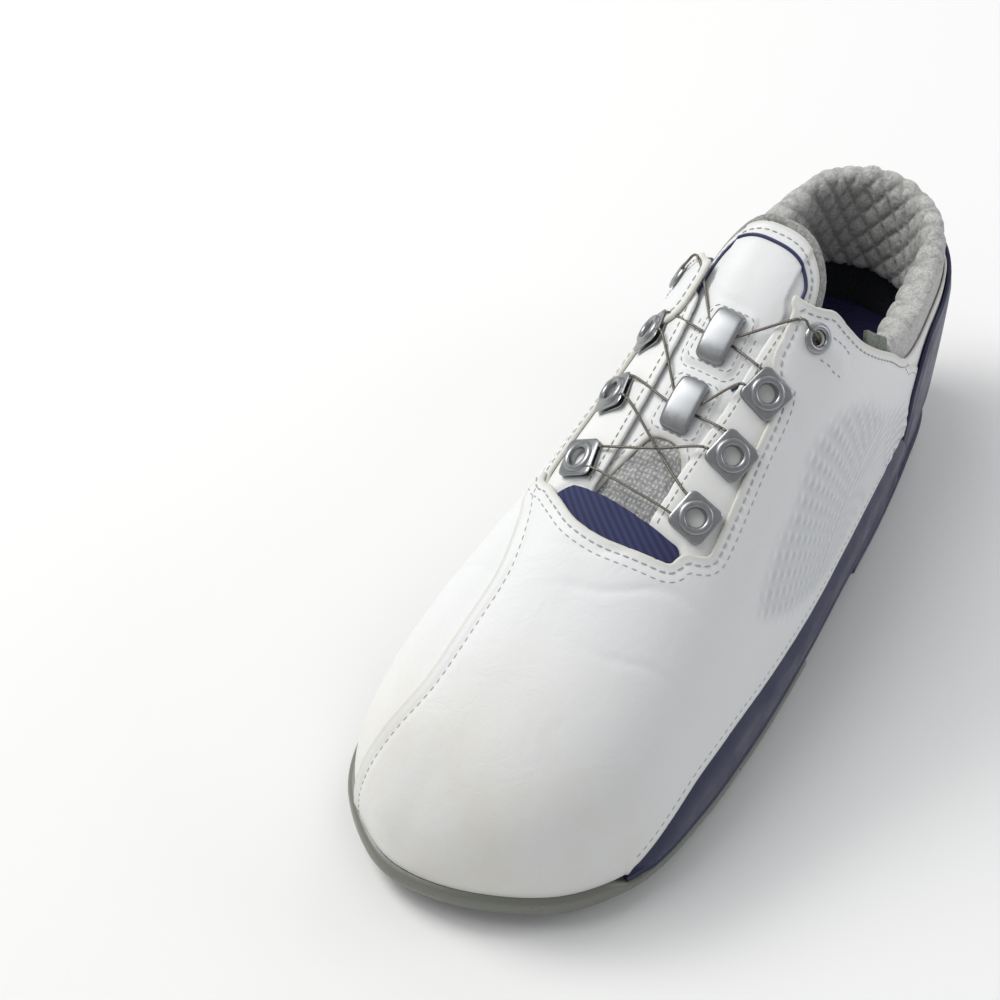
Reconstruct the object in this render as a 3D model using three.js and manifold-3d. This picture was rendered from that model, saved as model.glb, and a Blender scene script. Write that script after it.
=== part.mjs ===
// A left golf shoe with a cable lace wound by a dial on the heel.
// Millimetres. +Z is up from the ground, +Y runs from the toe to the heel, +X points to the outer side.
import * as THREE from 'three';
import * as BufferGeometryUtils from 'three/addons/utils/BufferGeometryUtils.js';
import Module from 'manifold-3d';

const wasm = await Module();
wasm.setup();

// Overall sizes of the last that the upper is pulled over
const lastLength = 298;
const ballWidth = 106;
const instepRise = 122;

// Sole stack, from the ground up
const cleatHeight = 7;
const heelStack = 21;
const foreStack = 8;
const outsoleThickness = 4.5;
const frameFloor = 1.2;
const frameWall = 2;
const outsoleRim = 3;
const insoleBoardThickness = 2;
const sockLinerThickness = 4;
const shankLength = 80;
const shankWidth = 18;
const shankThickness = 1.4;

// Layers of the upper, from the outside in
const fitGap = 0.3;
const leather = 1.6;
const stiffener = 1.8;
const lining = 1;
const tongueSkin = 1.6;
const tongueFoam = 3.2;
const collarPad = 9;
const collarHeight = 70;

// Lace, its tubes and the metal that guides it
const laceRadius = 0.45;
const laceRoomRadius = 0.75;
const tubeBore = 0.65;
const tubeWall = 0.3;
const guideRing = 5.5;
const guideHole = 2.9;
const guidePlate = 13;
const guideThickness = 2.4;
const guideRingHeight = 0.9;
const eyeletFlange = 5;
const eyeletBore = 2.5;
const eyeletWall = 0.7;
const tongueGuideLength = 18;
const tongueGuideWidth = 10;
const tongueGuideThickness = 4.2;

// Dial on the heel
const dialHeight = 36;
const dialRadius = 15;
const dialFloor = 1.2;
const dialWall = 2.4;
const dialKnobDepth = 6.3;
const spoolRadius = 9;
const spoolCore = 6;
const spoolFlange = 0.6;
const spoolGroove = 2.4;
const screwRadius = 2;
const screwHead = 3.6;
const screwHeadDepth = 1.4;
const pawlDepth = 1.2;
const knobRibs = 18;

// Cleats
const cleatRadius = 10;
const cleatStem = 3.5;
const cleatProngs = 6;
const receptacleRadius = 7;

// Stations of the last, heel to toe: y and x of the inner feather edge, y and x of the outer one,
// x and y of the ridge, its rise over the feather edge, and how much of the heel stack is under it.
const sampleLength = 298;
const sampleWidth = 106;
const sampleRise = 122;
const stations = [
  [148, 0, 148, 0, 0, 148, 142, 1],
  [143, -20, 143, 20, 0, 143, 142, 1],
  [128, -32, 128, 33, 0, 128, 142, 1],
  [100, -36.5, 100, 40, 0, 100, 141, 0.92],
  [65, -35, 65, 46, 1, 65, 134, 0.85],
  [30, -35, 28, 51, 3, 30, 122, 0.69],
  [-5, -38, -8, 55, 4, -6, 103, 0.46],
  [-40, -44, -44, 57, 4, -42, 83, 0.23],
  [-75, -49, -78, 57, 3, -76, 65, 0.08],
  [-105, -48, -107, 53, 0, -106, 51, 0],
  [-129, -40.5, -130, 39, -5, -129, 37, 0],
  [-144, -25, -145, 15, -8, -144, 21, 0],
  [-150, -8, -150, -8, -8, -150, 2, 0],
];
const sideFullness = 0.8;
const topFullness = 0.86;
const gradeY = lastLength / sampleLength;
const gradeX = ballWidth / sampleWidth;
const gradeZ = instepRise / sampleRise;
const seat = cleatHeight + heelStack;

// Rows of facets between two stations, and facets from the feather edge to the ridge
const rowsPerStation = [3, 2, 2, 1, 1, 1, 1, 1, 1, 2, 2, 3];
const facetsPerSide = 7;
const skirt = 20;

// ---- the last -------------------------------------------------------------------------------

function swapSides(station) {
  return [station[2], station[3], station[0], station[1], ...station.slice(4)];
}

// A station between two given ones, by a uniform Catmull-Rom spline
function stationAt(t) {
  const spans = stations.length - 1;
  const along = THREE.MathUtils.clamp(t, 0, 1) * spans;
  const first = Math.min(Math.floor(along), spans - 1);
  const u = along - first;
  const padded = [swapSides(stations[1]), ...stations, swapSides(stations[spans - 1])];
  const [a, b, c, d] = padded.slice(first, first + 4);
  return b.map((_, k) => 0.5 * (2 * b[k] + (c[k] - a[k]) * u
    + (2 * a[k] - 5 * b[k] + 4 * c[k] - d[k]) * u * u
    + (3 * b[k] - a[k] - 3 * c[k] + d[k]) * u * u * u));
}

// A point of the last: t runs from heel to toe, and v from -1 at the inner feather edge over 0 at the
// ridge to 1 at the outer feather edge
function lastPoint(t, v) {
  const [yIn, xIn, yOut, xOut, xRidge, yRidge, rise, stack] = stationAt(t);
  const angle = (1 - Math.abs(v)) * Math.PI / 2;
  const across = Math.max(Math.cos(angle), 0) ** sideFullness;
  const up = Math.max(Math.sin(angle), 0) ** topFullness;
  const x = xRidge + ((v < 0 ? xIn : xOut) - xRidge) * across;
  const y = yRidge + ((v < 0 ? yIn : yOut) - yRidge) * across;
  const feather = cleatHeight + foreStack + stack * (heelStack - foreStack);
  return new THREE.Vector3(x * gradeX, y * gradeY, feather + rise * up * gradeZ);
}

function sideNormal(t, v) {
  const step = 1e-3;
  const alongT = lastPoint(Math.min(t + step, 1), v).sub(lastPoint(Math.max(t - step, 0), v));
  const alongV = lastPoint(t, Math.min(v + step, 1)).sub(lastPoint(t, Math.max(v - step, -1)));
  return alongV.cross(alongT).normalize().negate();
}

// The two sides meet in one line at the heel and at the toe, and share the mean of their normals there
function lastNormal(t, v) {
  if (t > 0 && t < 1) return sideNormal(t, v);
  const near = Math.max(Math.abs(v), 0.05);
  return sideNormal(t, near).add(sideNormal(t, -near)).normalize();
}

// A point at a depth below the last's surface; a negative depth is outside it
function skin(t, v, depth) {
  return lastPoint(t, v).addScaledVector(lastNormal(t, v), -depth);
}

// The t and v of the point of the last above a place in plan
function aboutPlan(x, y) {
  let t = THREE.MathUtils.clamp(0.5 - y / lastLength, 0.02, 0.98);
  let v = THREE.MathUtils.clamp(x / ballWidth, -0.8, 0.8);
  const step = 1e-3;
  for (let turn = 0; turn < 30; turn += 1) {
    const here = lastPoint(t, v);
    const dt = lastPoint(t + step, v).sub(here).divideScalar(step);
    const dv = lastPoint(t, v + step).sub(here).divideScalar(step);
    const wanted = [x - here.x, y - here.y];
    const determinant = dt.x * dv.y - dt.y * dv.x;
    t += THREE.MathUtils.clamp((wanted[0] * dv.y - wanted[1] * dv.x) / determinant, -0.05, 0.05);
    v += THREE.MathUtils.clamp((dt.x * wanted[1] - dt.y * wanted[0]) / determinant, -0.1, 0.1);
    t = THREE.MathUtils.clamp(t, 0.01, 0.98);
    v = THREE.MathUtils.clamp(v, -0.95, 0.95);
  }
  return [t, v];
}

function onTop(x, y, depth) {
  return skin(...aboutPlan(x * gradeX, y * gradeY), depth);
}

// ---- solids ---------------------------------------------------------------------------------

function toSolid(geometry) {
  const bare = geometry.index ? geometry.toNonIndexed() : geometry.clone();
  for (const name of Object.keys(bare.attributes)) {
    if (name !== 'position') bare.deleteAttribute(name);
  }
  const merged = BufferGeometryUtils.mergeVertices(bare, 1e-4);
  const index = Array.from(merged.index.array);
  const kept = [];
  for (let i = 0; i < index.length; i += 3) {
    const [a, b, c] = index.slice(i, i + 3);
    if (a !== b && b !== c && c !== a) kept.push(a, b, c);
  }
  const vertProperties = new Float32Array(merged.attributes.position.array);
  return new wasm.Manifold(new wasm.Mesh({ numProp: 3, vertProperties, triVerts: new Uint32Array(kept) }));
}

function toGeometry(solid) {
  const mesh = solid.getMesh();
  const geometry = new THREE.BufferGeometry();
  geometry.setAttribute('position', new THREE.BufferAttribute(new Float32Array(mesh.vertProperties), 3));
  geometry.setIndex(Array.from(mesh.triVerts));
  geometry.computeVertexNormals();
  return geometry;
}

const facetRows = [0];
rowsPerStation.forEach((count, station) => {
  for (let k = 1; k <= count; k += 1) facetRows.push((station + k / count) / rowsPerStation.length);
});
const facetColumns = [];
for (let k = -facetsPerSide; k <= facetsPerSide; k += 1) facetColumns.push(k / facetsPerSide);

// The closed body inside one depth of the last, with straight skirts down below its feather edge
function bodyInside(depth) {
  const grid = facetRows.map((t) => {
    const row = facetColumns.map((v) => skin(t, v, depth));
    const skirts = [row[0].clone(), row[row.length - 1].clone()];
    for (const point of skirts) point.z -= skirt + depth;
    return [skirts[0], ...row, skirts[1]];
  });
  const corners = [];
  const wide = grid[0].length;
  for (let i = 0; i + 1 < grid.length; i += 1) {
    for (let j = 0; j < wide; j += 1) {
      const next = (j + 1) % wide;
      const [a, b, c, d] = [grid[i][j], grid[i][next], grid[i + 1][next], grid[i + 1][j]];
      corners.push(a, c, b, a, d, c);
    }
  }
  return toSolid(new THREE.BufferGeometry().setFromPoints(corners));
}

const bodies = new Map();
function inside(depth) {
  if (!bodies.has(depth)) bodies.set(depth, bodyInside(depth));
  return bodies.get(depth);
}

function layer(outer, inner) {
  return inside(outer).subtract(inside(inner));
}

// A prism over a plan outline, as tall as the shoe and more
const reach = 400;
function planPrism(points) {
  const shape = new THREE.Shape(points.map(([x, y]) => new THREE.Vector2(x * gradeX, y * gradeY)));
  const geometry = new THREE.ExtrudeGeometry(shape, { depth: reach, bevelEnabled: false });
  return toSolid(geometry.translate(0, 0, -reach / 2));
}

// A prism through the shoe from side to side, over an outline of y and height above the heel seat
function sidePrism(points, graded = true) {
  const place = ([y, z]) => new THREE.Vector2(y * gradeY, graded ? seat + z * gradeZ : z);
  const shape = new THREE.Shape(points.map(place));
  const geometry = new THREE.ExtrudeGeometry(shape, { depth: reach, bevelEnabled: false });
  geometry.translate(0, 0, -reach / 2);
  geometry.applyMatrix4(new THREE.Matrix4().makeBasis(
    new THREE.Vector3(0, 1, 0),
    new THREE.Vector3(0, 0, 1),
    new THREE.Vector3(1, 0, 0),
  ));
  return toSolid(geometry);
}

// Height of the feather edge, and of the sole's underside, as y and z from heel to toe
const featherLine = stations.map(([, , , , , y, , stack]) => [
  y,
  cleatHeight + foreStack + stack * (heelStack - foreStack),
]);
featherLine[0][0] = reach / 2;
featherLine[featherLine.length - 1][0] = -reach / 2;
const groundLine = [
  [reach / 2, 1.5], [146, 1.5], [136, 0], [70, 0], [45, 3.5], [20, 5], [-10, 3], [-38, 0], [-130, 0],
  [-150, 0.5], [-reach / 2, 0.5],
].map(([y, z]) => [y, z + cleatHeight]);

function raised(line, height) {
  return line.map(([y, z]) => [y, z + height]);
}

// The slab between two such lines
function slab(lower, upper) {
  return sidePrism([...upper, ...[...lower].reverse()], false);
}

// The prism over the sole's outline, at a depth inside the feather edge
function solePrism(depth) {
  const outline = [];
  for (const t of facetRows) outline.push(skin(t, 1, depth));
  for (const t of [...facetRows].reverse().slice(1, -1)) outline.push(skin(t, -1, depth));
  return planPrism(outline.map((point) => [point.x / gradeX, point.y / gradeY]));
}

// A solid turned so that its own z follows a direction, and moved to a place
function seated(solidOrGeometry, place, normal, forward = new THREE.Vector3(0, 1, 0)) {
  const z = normal.clone().normalize();
  const x = forward.clone().cross(z).normalize();
  const y = z.clone().cross(x);
  return solidOrGeometry.applyMatrix4(new THREE.Matrix4().makeBasis(x, y, z).setPosition(place));
}

function lathe(profile, segments) {
  const points = profile.map(([radius, height]) => new THREE.Vector2(radius, height));
  return new THREE.LatheGeometry(points, segments).rotateX(Math.PI / 2);
}

// A path that an extrusion follows from one chosen point to the next, with no steps between them
class Route extends THREE.CatmullRomCurve3 {
  getPointAt(u, target) {
    return this.getPoint(u, target);
  }

  getTangentAt(u, target) {
    return this.getTangent(u, target);
  }
}

function rod(points, radius, sides) {
  const section = new THREE.Shape();
  for (let k = 0; k < sides; k += 1) {
    const angle = 2 * Math.PI * k / sides;
    const corner = [radius * Math.cos(angle), radius * Math.sin(angle)];
    if (k === 0) section.moveTo(...corner);
    else section.lineTo(...corner);
  }
  const options = { steps: points.length - 1, bevelEnabled: false, extrudePath: new Route(points) };
  return new THREE.ExtrudeGeometry(section, options);
}

// ---- depths of the layers ---------------------------------------------------------------------

const stiffenerOut = leather + fitGap;
const stiffenerIn = stiffenerOut + stiffener;
const liningOut = stiffenerIn + fitGap;
const liningIn = liningOut + lining;
const tongueOut = liningIn + fitGap;
const tongueSkinIn = tongueOut + tongueSkin;
const foamOut = tongueSkinIn + fitGap;
const foamIn = foamOut + tongueFoam;
const collarIn = stiffenerOut + collarPad;
const frameOut = -fitGap - frameWall;

// ---- outlines ---------------------------------------------------------------------------------

// Outlines on the side are y and height above the heel seat; outlines in plan are x and y.
const topline = [[29, 170], [30, 107], [33, 102], [38, 94], [47, 83], [59, 71], [70, 60], [80, 53], [100, 50],
  [130, 52], [170, 56], [170, 170]];
const throat = [[20, 60], [20, 22], [23, 10], [30, 1], [33, -20], [33, -44], [28, -52], [16, -57], [3, -59],
  [-12, -57], [-22, -51], [-27, -42], [-27, -20], [-26, 0], [-20, 9], [-16, 18], [-15, 60]];
const seam = [[-27, -43], [-28, -50], [-23, -70], [-21, -90], [-23, -113], [-28, -130], [-33, -139],
  [-52, -160]];
const heelSplit = [[84, -60], [84, 20], [90, 40], [92, 120]];
const collarFoot = [[58, 50], [72, 36], [95, 28], [170, 28]];
const collarTop = [[170, collarHeight], [140, collarHeight], [110, collarHeight - 5], [80, collarHeight - 2],
  [58, collarHeight + 2]];
const goring = [[44, 78], [57, 62], [57, 76], [50, 87], [44, 94]];
const foxing = [[84, -60], [84, 14], [65, 16], [28, 14], [-5, 10], [-45, 4], [-77, 2], [-95, -2], [-112, -12],
  [-112, -60]];
const heelGuard = [[87, -60], [87, 24], [90, 36], [97, 44], [115, 46], [170, 50], [170, -60]];
const laceGuideSpots = [[-20, 4], [-20, -17], [-18, -39], [25.5, -3], [25.5, -22], [25, -41]];
const eyeletSpots = [[-22.5, 26], [29.5, 19]];
const tongueGuideSpots = [[4, 3], [4.5, -17.5]];
const tongueOutline = [[-17, 34], [-21, 28], [-23, 0], [-21, -30], [-20, -50], [-12, -62], [16, -62], [27, -50],
  [28, -30], [29, 0], [28, 28], [24, 34], [14, 37], [-7, 37]];
const meshCentre = [4, -39];
const meshWindow = [[-12, -10], [12, -10], [10, 1], [5, 10], [-5, 10], [-10, 1]];
const labelOutline = [[-14, -50.3], [20, -50.3], [21, -56], [16, -61], [-10, -61], [-16, -56]];
const liningThroat = [[21, 60], [21, -20], [20, -50], [12, -62], [-6, -62], [-13, -50], [-13, 60]];
const liningSplit = 30;
const toePuffEdge = -98;
const stiffenerEdge = 92;
const stiffenerTop = 27;
const toeBreak = -112;
const forefootEnd = -6;
const heelPieceEnd = 40;
const shankStart = -20;
const cleatSpots = [[-28, -62], [36, -52], [-30, -98], [37, -93], [4, -122], [-18, 116], [19, 118]];

const looks = {
  whiteLeather: { color: 0xf1f2f0, roughness: 0.5, metalness: 0 },
  whiteCoated: { color: 0xe6e7e4, roughness: 0.55, metalness: 0 },
  navyPlastic: { color: 0x262a4e, roughness: 0.45, metalness: 0 },
  clearPlastic: { color: 0x9a9b8e, roughness: 0.35, metalness: 0 },
  foam: { color: 0xdcdcd6, roughness: 0.9, metalness: 0 },
  greyKnit: { color: 0x9c9d9b, roughness: 0.95, metalness: 0 },
  charcoalKnit: { color: 0x2c3033, roughness: 0.95, metalness: 0 },
  navyKnit: { color: 0x23234a, roughness: 0.95, metalness: 0 },
  board: { color: 0xb79f78, roughness: 0.9, metalness: 0 },
  satinMetal: { color: 0xb4b6b8, roughness: 0.35, metalness: 1 },
  steel: { color: 0x86827a, roughness: 0.4, metalness: 1 },
  greyRubber: { color: 0x77786c, roughness: 0.8, metalness: 0 },
  olive: { color: 0x6d7466, roughness: 0.9, metalness: 0 },
};

// ---- the lace ---------------------------------------------------------------------------------

// The dial turns about an axis that points straight back from the heel
const dialCentre = new THREE.Vector3(0, lastLength / 2 * 148 / 149 - frameOut + fitGap, seat + dialHeight);
const spoolStart = dialFloor + fitGap;
const spoolEnd = spoolStart + 2 * spoolFlange + spoolGroove;
const housingTop = spoolEnd + fitGap;

function atDial(x, out, up) {
  return dialCentre.clone().add(new THREE.Vector3(x, out, up));
}

// The lace inside a quarter, from the eyelet back to the dial, at its own depth between leather and lining
const tubeDepth = (leather + liningOut) / 2;
const quarterRoute = [[0.41, 0.52], [0.385, 0.64], [0.355, 0.73], [0.32, 0.79], [0.28, 0.825], [0.23, 0.845],
  [0.18, 0.855], [0.13, 0.86], [0.09, 0.86]];

function quarterRun(side) {
  return quarterRoute.map(([t, v]) => skin(t, side * v, tubeDepth));
}

// Out through the heel and on to the core of the spool
const laceOnCore = spoolCore + laceRoomRadius + fitGap / 2;
const laceInGroove = spoolStart + spoolFlange + spoolGroove / 2;
function spoolRun(side) {
  return [
    atDial(side * 14, -3.6, side * 3.5),
    atDial(side * 11.5, 0.4, side * 5.5),
    atDial(side * 9.5, laceInGroove - 0.4, side * laceOnCore),
    atDial(side * 5, laceInGroove, side * laceOnCore),
    atDial(side, laceInGroove, side * laceOnCore),
  ];
}

function eyeletRun([x, y], side) {
  return [
    onTop(x - side * 7, y - 1.5, -0.7),
    onTop(x - side * 3.6, y - 0.8, -1.6),
    onTop(x - side * 0.3, y, -0.4),
    onTop(x + side * 1.2, y + 0.6, 1.4),
    onTop(x + side * 4, y + 2.4, tubeDepth),
    onTop(x + side * 7, y + 5, tubeDepth),
  ];
}

// Once round the outer end of a guide, in from one corner and out at the other, in the guide's own plane
const guideLaceDepth = leather - guideThickness / 2;
function guideTurn([x, y], side) {
  const corners = [[-8, 4], [-1.5, 4.4], [2.6, 3.5], [4.2, 0], [2.6, -3.5], [-1.5, -4.4], [-8, -4]];
  const [t, v] = aboutPlan(x * gradeX, y * gradeY);
  const normal = lastNormal(t, v);
  const across = new THREE.Vector3(0, 1, 0).cross(normal).normalize();
  const forwards = normal.clone().cross(across);
  const place = skin(t, v, guideLaceDepth);
  return corners.map(([out, up]) => place.clone().addScaledVector(across, side * out)
    .addScaledVector(forwards, up));
}

const [innerOne, innerTwo, innerThree, outerOne, outerTwo, outerThree] = laceGuideSpots;
const [innerEyelet, outerEyelet] = eyeletSpots;
const [upperArch, lowerArch] = tongueGuideSpots;
const tongueGuideSeat = tongueOut - fitGap;
const shallowLace = tongueGuideSeat - 2 * tongueGuideThickness / 3;
const deepLace = tongueGuideSeat - tongueGuideThickness / 3 + 0.1;

function overArch([x, y], slope, depth) {
  return [-4, 0, 4].map((across) => onTop(x + across, y + slope * across, depth));
}

function reversed(points) {
  return [...points].reverse();
}

const meshCrossing = [4, -31];
const laceRoute = [
  ...reversed(spoolRun(1)),
  ...reversed(quarterRun(1)),
  ...reversed(eyeletRun(outerEyelet, 1)),
  ...reversed(overArch(upperArch, 0.2, shallowLace)),
  ...guideTurn(innerOne, -1),
  ...overArch(lowerArch, -0.25, deepLace),
  ...guideTurn(outerTwo, 1),
  onTop(...meshCrossing, 0.6),
  ...guideTurn(innerThree, -1),
  ...reversed(guideTurn(outerThree, 1)),
  onTop(...meshCrossing, 2.4),
  ...reversed(guideTurn(innerTwo, -1)),
  ...overArch(lowerArch, 0.25, shallowLace),
  ...reversed(guideTurn(outerOne, 1)),
  ...reversed(overArch(upperArch, -0.2, deepLace)),
  ...eyeletRun(innerEyelet, -1),
  ...quarterRun(-1),
  ...spoolRun(-1),
];
const laceRoom = toSolid(rod(laceRoute, laceRoomRadius, 5));
const tubeOuter = tubeBore + tubeWall;
const tubeRuns = [[innerEyelet, -1], [outerEyelet, 1]].map(([[x, y], side]) => [
  onTop(x + side * 7, y + 5, tubeDepth),
  ...quarterRun(side),
]);
const tubeRooms = tubeRuns.map((run) => toSolid(rod(run, tubeOuter + fitGap, 6)));

// ---- pieces -----------------------------------------------------------------------------------

const parts = [];
function add(name, solid, look) {
  const mesh = new THREE.Mesh(toGeometry(solid), new THREE.MeshStandardMaterial(looks[look]));
  mesh.name = name;
  parts.push(mesh);
}

function without(solid, ...cuts) {
  return cuts.flat().reduce((left, cut) => left.subtract(cut), solid);
}

function sideBand(from, to) {
  return sidePrism([[from, -reach], [from, reach], [to, reach], [to, -reach]]);
}

// ---- the upper --------------------------------------------------------------------------------

const belowFeather = slab(raised(featherLine, -reach), featherLine);
const shiftedSeam = (shift) => seam.map(([x, y]) => [x + shift, y]);
const innerSide = planPrism([...shiftedSeam(-fitGap / 2), [-200, -160], [-200, 200], [-2, 200], [-2, -43]]);
const outerSide = planPrism([...shiftedSeam(fitGap / 2), [200, -160], [200, 200], [2, 200], [2, -43]]);
const rearOf = (shift) => sidePrism([...heelSplit.map(([y, z]) => [y + shift, z]), [200, 120], [200, -60]]);

function spotOn([x, y], depth) {
  const [t, v] = aboutPlan(x * gradeX, y * gradeY);
  return [skin(t, v, depth), lastNormal(t, v)];
}

function plateShape(halfWidth, halfLength, corner) {
  const shape = new THREE.Shape();
  const outline = [[1, -1, -1, 0], [1, 1, 0, -1], [-1, 1, 1, 0], [-1, -1, 0, 1]];
  outline.forEach(([sx, sy], k) => {
    const ends = [[sx * halfWidth, sy * (halfLength - corner)], [sx * (halfWidth - corner), sy * halfLength]];
    for (const [x, y] of (k % 2 === 0 ? reversed(ends) : ends)) shape.lineTo(x, y);
  });
  return shape;
}

function plate(halfWidth, halfLength, corner, depth) {
  return new THREE.ExtrudeGeometry(plateShape(halfWidth, halfLength, corner), { depth, bevelEnabled: false });
}

const guideSeat = stiffenerOut - fitGap;
const plateCorner = 2.5;
const notchRoom = 3 * leather;
const guideNotches = laceGuideSpots.map((spot) => {
  const half = guidePlate / 2 + fitGap;
  const notch = plate(half, half, plateCorner, 2 * notchRoom).translate(0, 0, -notchRoom);
  return toSolid(seated(notch, ...spotOn(spot, guideSeat)));
});
const eyeletOuter = eyeletBore + eyeletWall;
const eyeletHoles = eyeletSpots.map((spot) => {
  const radius = eyeletOuter + fitGap;
  const pin = new THREE.CylinderGeometry(radius, radius, 6, 12).rotateX(Math.PI / 2);
  return toSolid(seated(pin, ...spotOn(spot, 0)));
});

const leatherShell = without(layer(0, leather), sidePrism(topline), belowFeather, planPrism(throat),
  guideNotches, eyeletHoles, tubeRooms, laceRoom);
const foreUpper = leatherShell.subtract(rearOf(-fitGap / 2));
add('lateral_upper', foreUpper.intersect(outerSide), 'whiteLeather');
add('medial_upper', foreUpper.intersect(innerSide), 'whiteLeather');
add('heel_leather', leatherShell.intersect(rearOf(fitGap / 2)), 'whiteLeather');

const middleLayer = without(layer(stiffenerOut, stiffenerIn), belowFeather, tubeRooms, laceRoom);
const outerStrip = [[14, -50], [38, -50], [37, -20], [35, 12], [30, 13], [19, 12], [17, -20]];
const innerStrip = [[-8, -50], [-31, -50], [-32, -20], [-29, 14], [-16, 14], [-10, 8], [-9, -20]];
add('lateral_eyestay', middleLayer.intersect(planPrism(outerStrip)), 'whiteCoated');
add('medial_eyestay', middleLayer.intersect(planPrism(innerStrip)), 'whiteCoated');
add('throat_label', middleLayer.intersect(planPrism(labelOutline)), 'navyPlastic');
add('toe_puff', middleLayer.intersect(sideBand(toePuffEdge, -200)), 'board');
const stiffenerSide = sidePrism([[stiffenerEdge, -60], [stiffenerEdge, stiffenerTop - 6],
  [stiffenerEdge + 8, stiffenerTop], [200, stiffenerTop], [200, -60]]);
add('heel_stiffener', middleLayer.intersect(stiffenerSide), 'board');
const goringLayer = middleLayer.intersect(sidePrism(goring));
add('lateral_goring', goringLayer.intersect(outerSide), 'olive');
add('medial_goring', goringLayer.intersect(innerSide), 'olive');

const collarLayer = without(layer(stiffenerOut, collarIn), belowFeather, tubeRooms, laceRoom);
add('collar_pad', collarLayer.intersect(sidePrism([...collarFoot, ...collarTop])), 'greyKnit');
const collarRoom = sidePrism([...collarFoot.map(([y, z]) => [y - fitGap, z - fitGap]), [170, reach],
  [collarFoot[0][0] - fitGap, reach]]);
const liningShell = without(layer(liningOut, liningIn), belowFeather, collarRoom, sidePrism(topline),
  planPrism(liningThroat), tubeRooms, laceRoom);
add('vamp_lining', liningShell.intersect(sideBand(liningSplit - fitGap, -200)), 'greyKnit');
const rearLining = liningShell.intersect(sideBand(liningSplit, 200));
add('heel_lining', rearLining, 'charcoalKnit');

// ---- the tongue -------------------------------------------------------------------------------

function windowPrism(gap) {
  const [x, y] = meshCentre;
  const shrink = ([dx, dy]) => [x + dx - Math.sign(dx) * gap, y + dy - Math.sign(dy) * gap];
  return planPrism(meshWindow.map(shrink));
}

const tonguePrism = planPrism(tongueOutline);
const tongueLayer = layer(tongueOut, tongueSkinIn).intersect(tonguePrism);
add('tongue_leather', tongueLayer.subtract(windowPrism(0)), 'whiteLeather');
add('tongue_mesh', tongueLayer.intersect(windowPrism(fitGap)), 'greyKnit');
add('tongue_foam', layer(foamOut, foamIn).intersect(tonguePrism), 'greyKnit');

['upper_tongue_guide', 'lower_tongue_guide'].forEach((name, k) => {
  const body = plate(tongueGuideWidth / 2, tongueGuideLength / 2, plateCorner, tongueGuideThickness);
  const place = spotOn(tongueGuideSpots[k], tongueGuideSeat);
  add(name, toSolid(seated(body, ...place)).subtract(laceRoom), 'satinMetal');
});

// ---- lace hardware ----------------------------------------------------------------------------

const guideNames = ['medial_guide_1', 'medial_guide_2', 'medial_guide_3', 'lateral_guide_1', 'lateral_guide_2',
  'lateral_guide_3'];
const guideTop = guideThickness + guideRingHeight;
laceGuideSpots.forEach((spot, k) => {
  const [place, normal] = spotOn(spot, guideSeat);
  const square = plate(guidePlate / 2, guidePlate / 2, plateCorner, guideThickness);
  const base = toSolid(seated(square, place, normal));
  const ring = lathe([[0, guideThickness - 1], [guideRing, guideThickness - 1], [guideRing, guideTop - 0.3],
    [guideRing - 0.6, guideTop], [0, guideTop]], 10);
  const hole = new THREE.CylinderGeometry(guideHole, guideHole, 12, 7).rotateX(Math.PI / 2);
  const guide = base.add(toSolid(seated(ring, place, normal)));
  add(guideNames[k], without(guide, toSolid(seated(hole, place, normal)), laceRoom), 'satinMetal');
});

eyeletSpots.forEach((spot, k) => {
  const profile = [[eyeletBore, fitGap - leather], [eyeletOuter, fitGap - leather], [eyeletOuter, fitGap],
    [eyeletFlange, fitGap], [eyeletFlange, 0.8], [eyeletFlange - 1, 1.2], [eyeletBore + 0.5, 1.2],
    [eyeletBore, 0.7], [eyeletBore, fitGap - leather]];
  const eyelet = toSolid(seated(lathe(profile, 10), ...spotOn(spot, 0)));
  add(['medial_eyelet', 'lateral_eyelet'][k], eyelet.subtract(laceRoom), 'satinMetal');
});

add('lace_cable', toSolid(rod(laceRoute, laceRadius, 5)), 'steel');
tubeRuns.forEach((run, k) => {
  const tube = toSolid(rod(run, tubeOuter, 6)).subtract(laceRoom);
  add(['medial_lace_tube', 'lateral_lace_tube'][k], tube, 'clearPlastic');
});

// ---- the heel guard and the dial --------------------------------------------------------------

const outerLayer = without(layer(frameOut, -fitGap), laceRoom);
add('heel_guard', without(outerLayer.intersect(sidePrism(heelGuard)), belowFeather), 'navyPlastic');

const backwards = new THREE.Vector3(0, 1, 0);
const upwards = new THREE.Vector3(0, 0, 1);
function dialSolid(geometry) {
  return toSolid(seated(geometry, dialCentre, backwards, upwards));
}

const housingBore = dialRadius - dialWall;
const housingProfile = [[screwRadius + fitGap, -12], [dialRadius, -12], [dialRadius, housingTop],
  [housingBore, housingTop], [housingBore, dialFloor], [screwRadius + fitGap, dialFloor],
  [screwRadius + fitGap, -12]];
const housing = dialSolid(lathe(housingProfile, 24));
add('dial_housing', without(housing, inside(frameOut - fitGap), laceRoom), 'navyPlastic');

const spoolBore = screwRadius + fitGap;
const grooveStart = spoolStart + spoolFlange;
const grooveEnd = spoolEnd - spoolFlange;
const spoolProfile = [[spoolBore, spoolStart], [spoolRadius, spoolStart], [spoolRadius, grooveStart],
  [spoolCore, grooveStart], [spoolCore, grooveEnd], [spoolRadius, grooveEnd], [spoolRadius, spoolEnd],
  [spoolBore, spoolEnd], [spoolBore, spoolStart]];
add('dial_spool', dialSolid(lathe(spoolProfile, 16)), 'clearPlastic');

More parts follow.
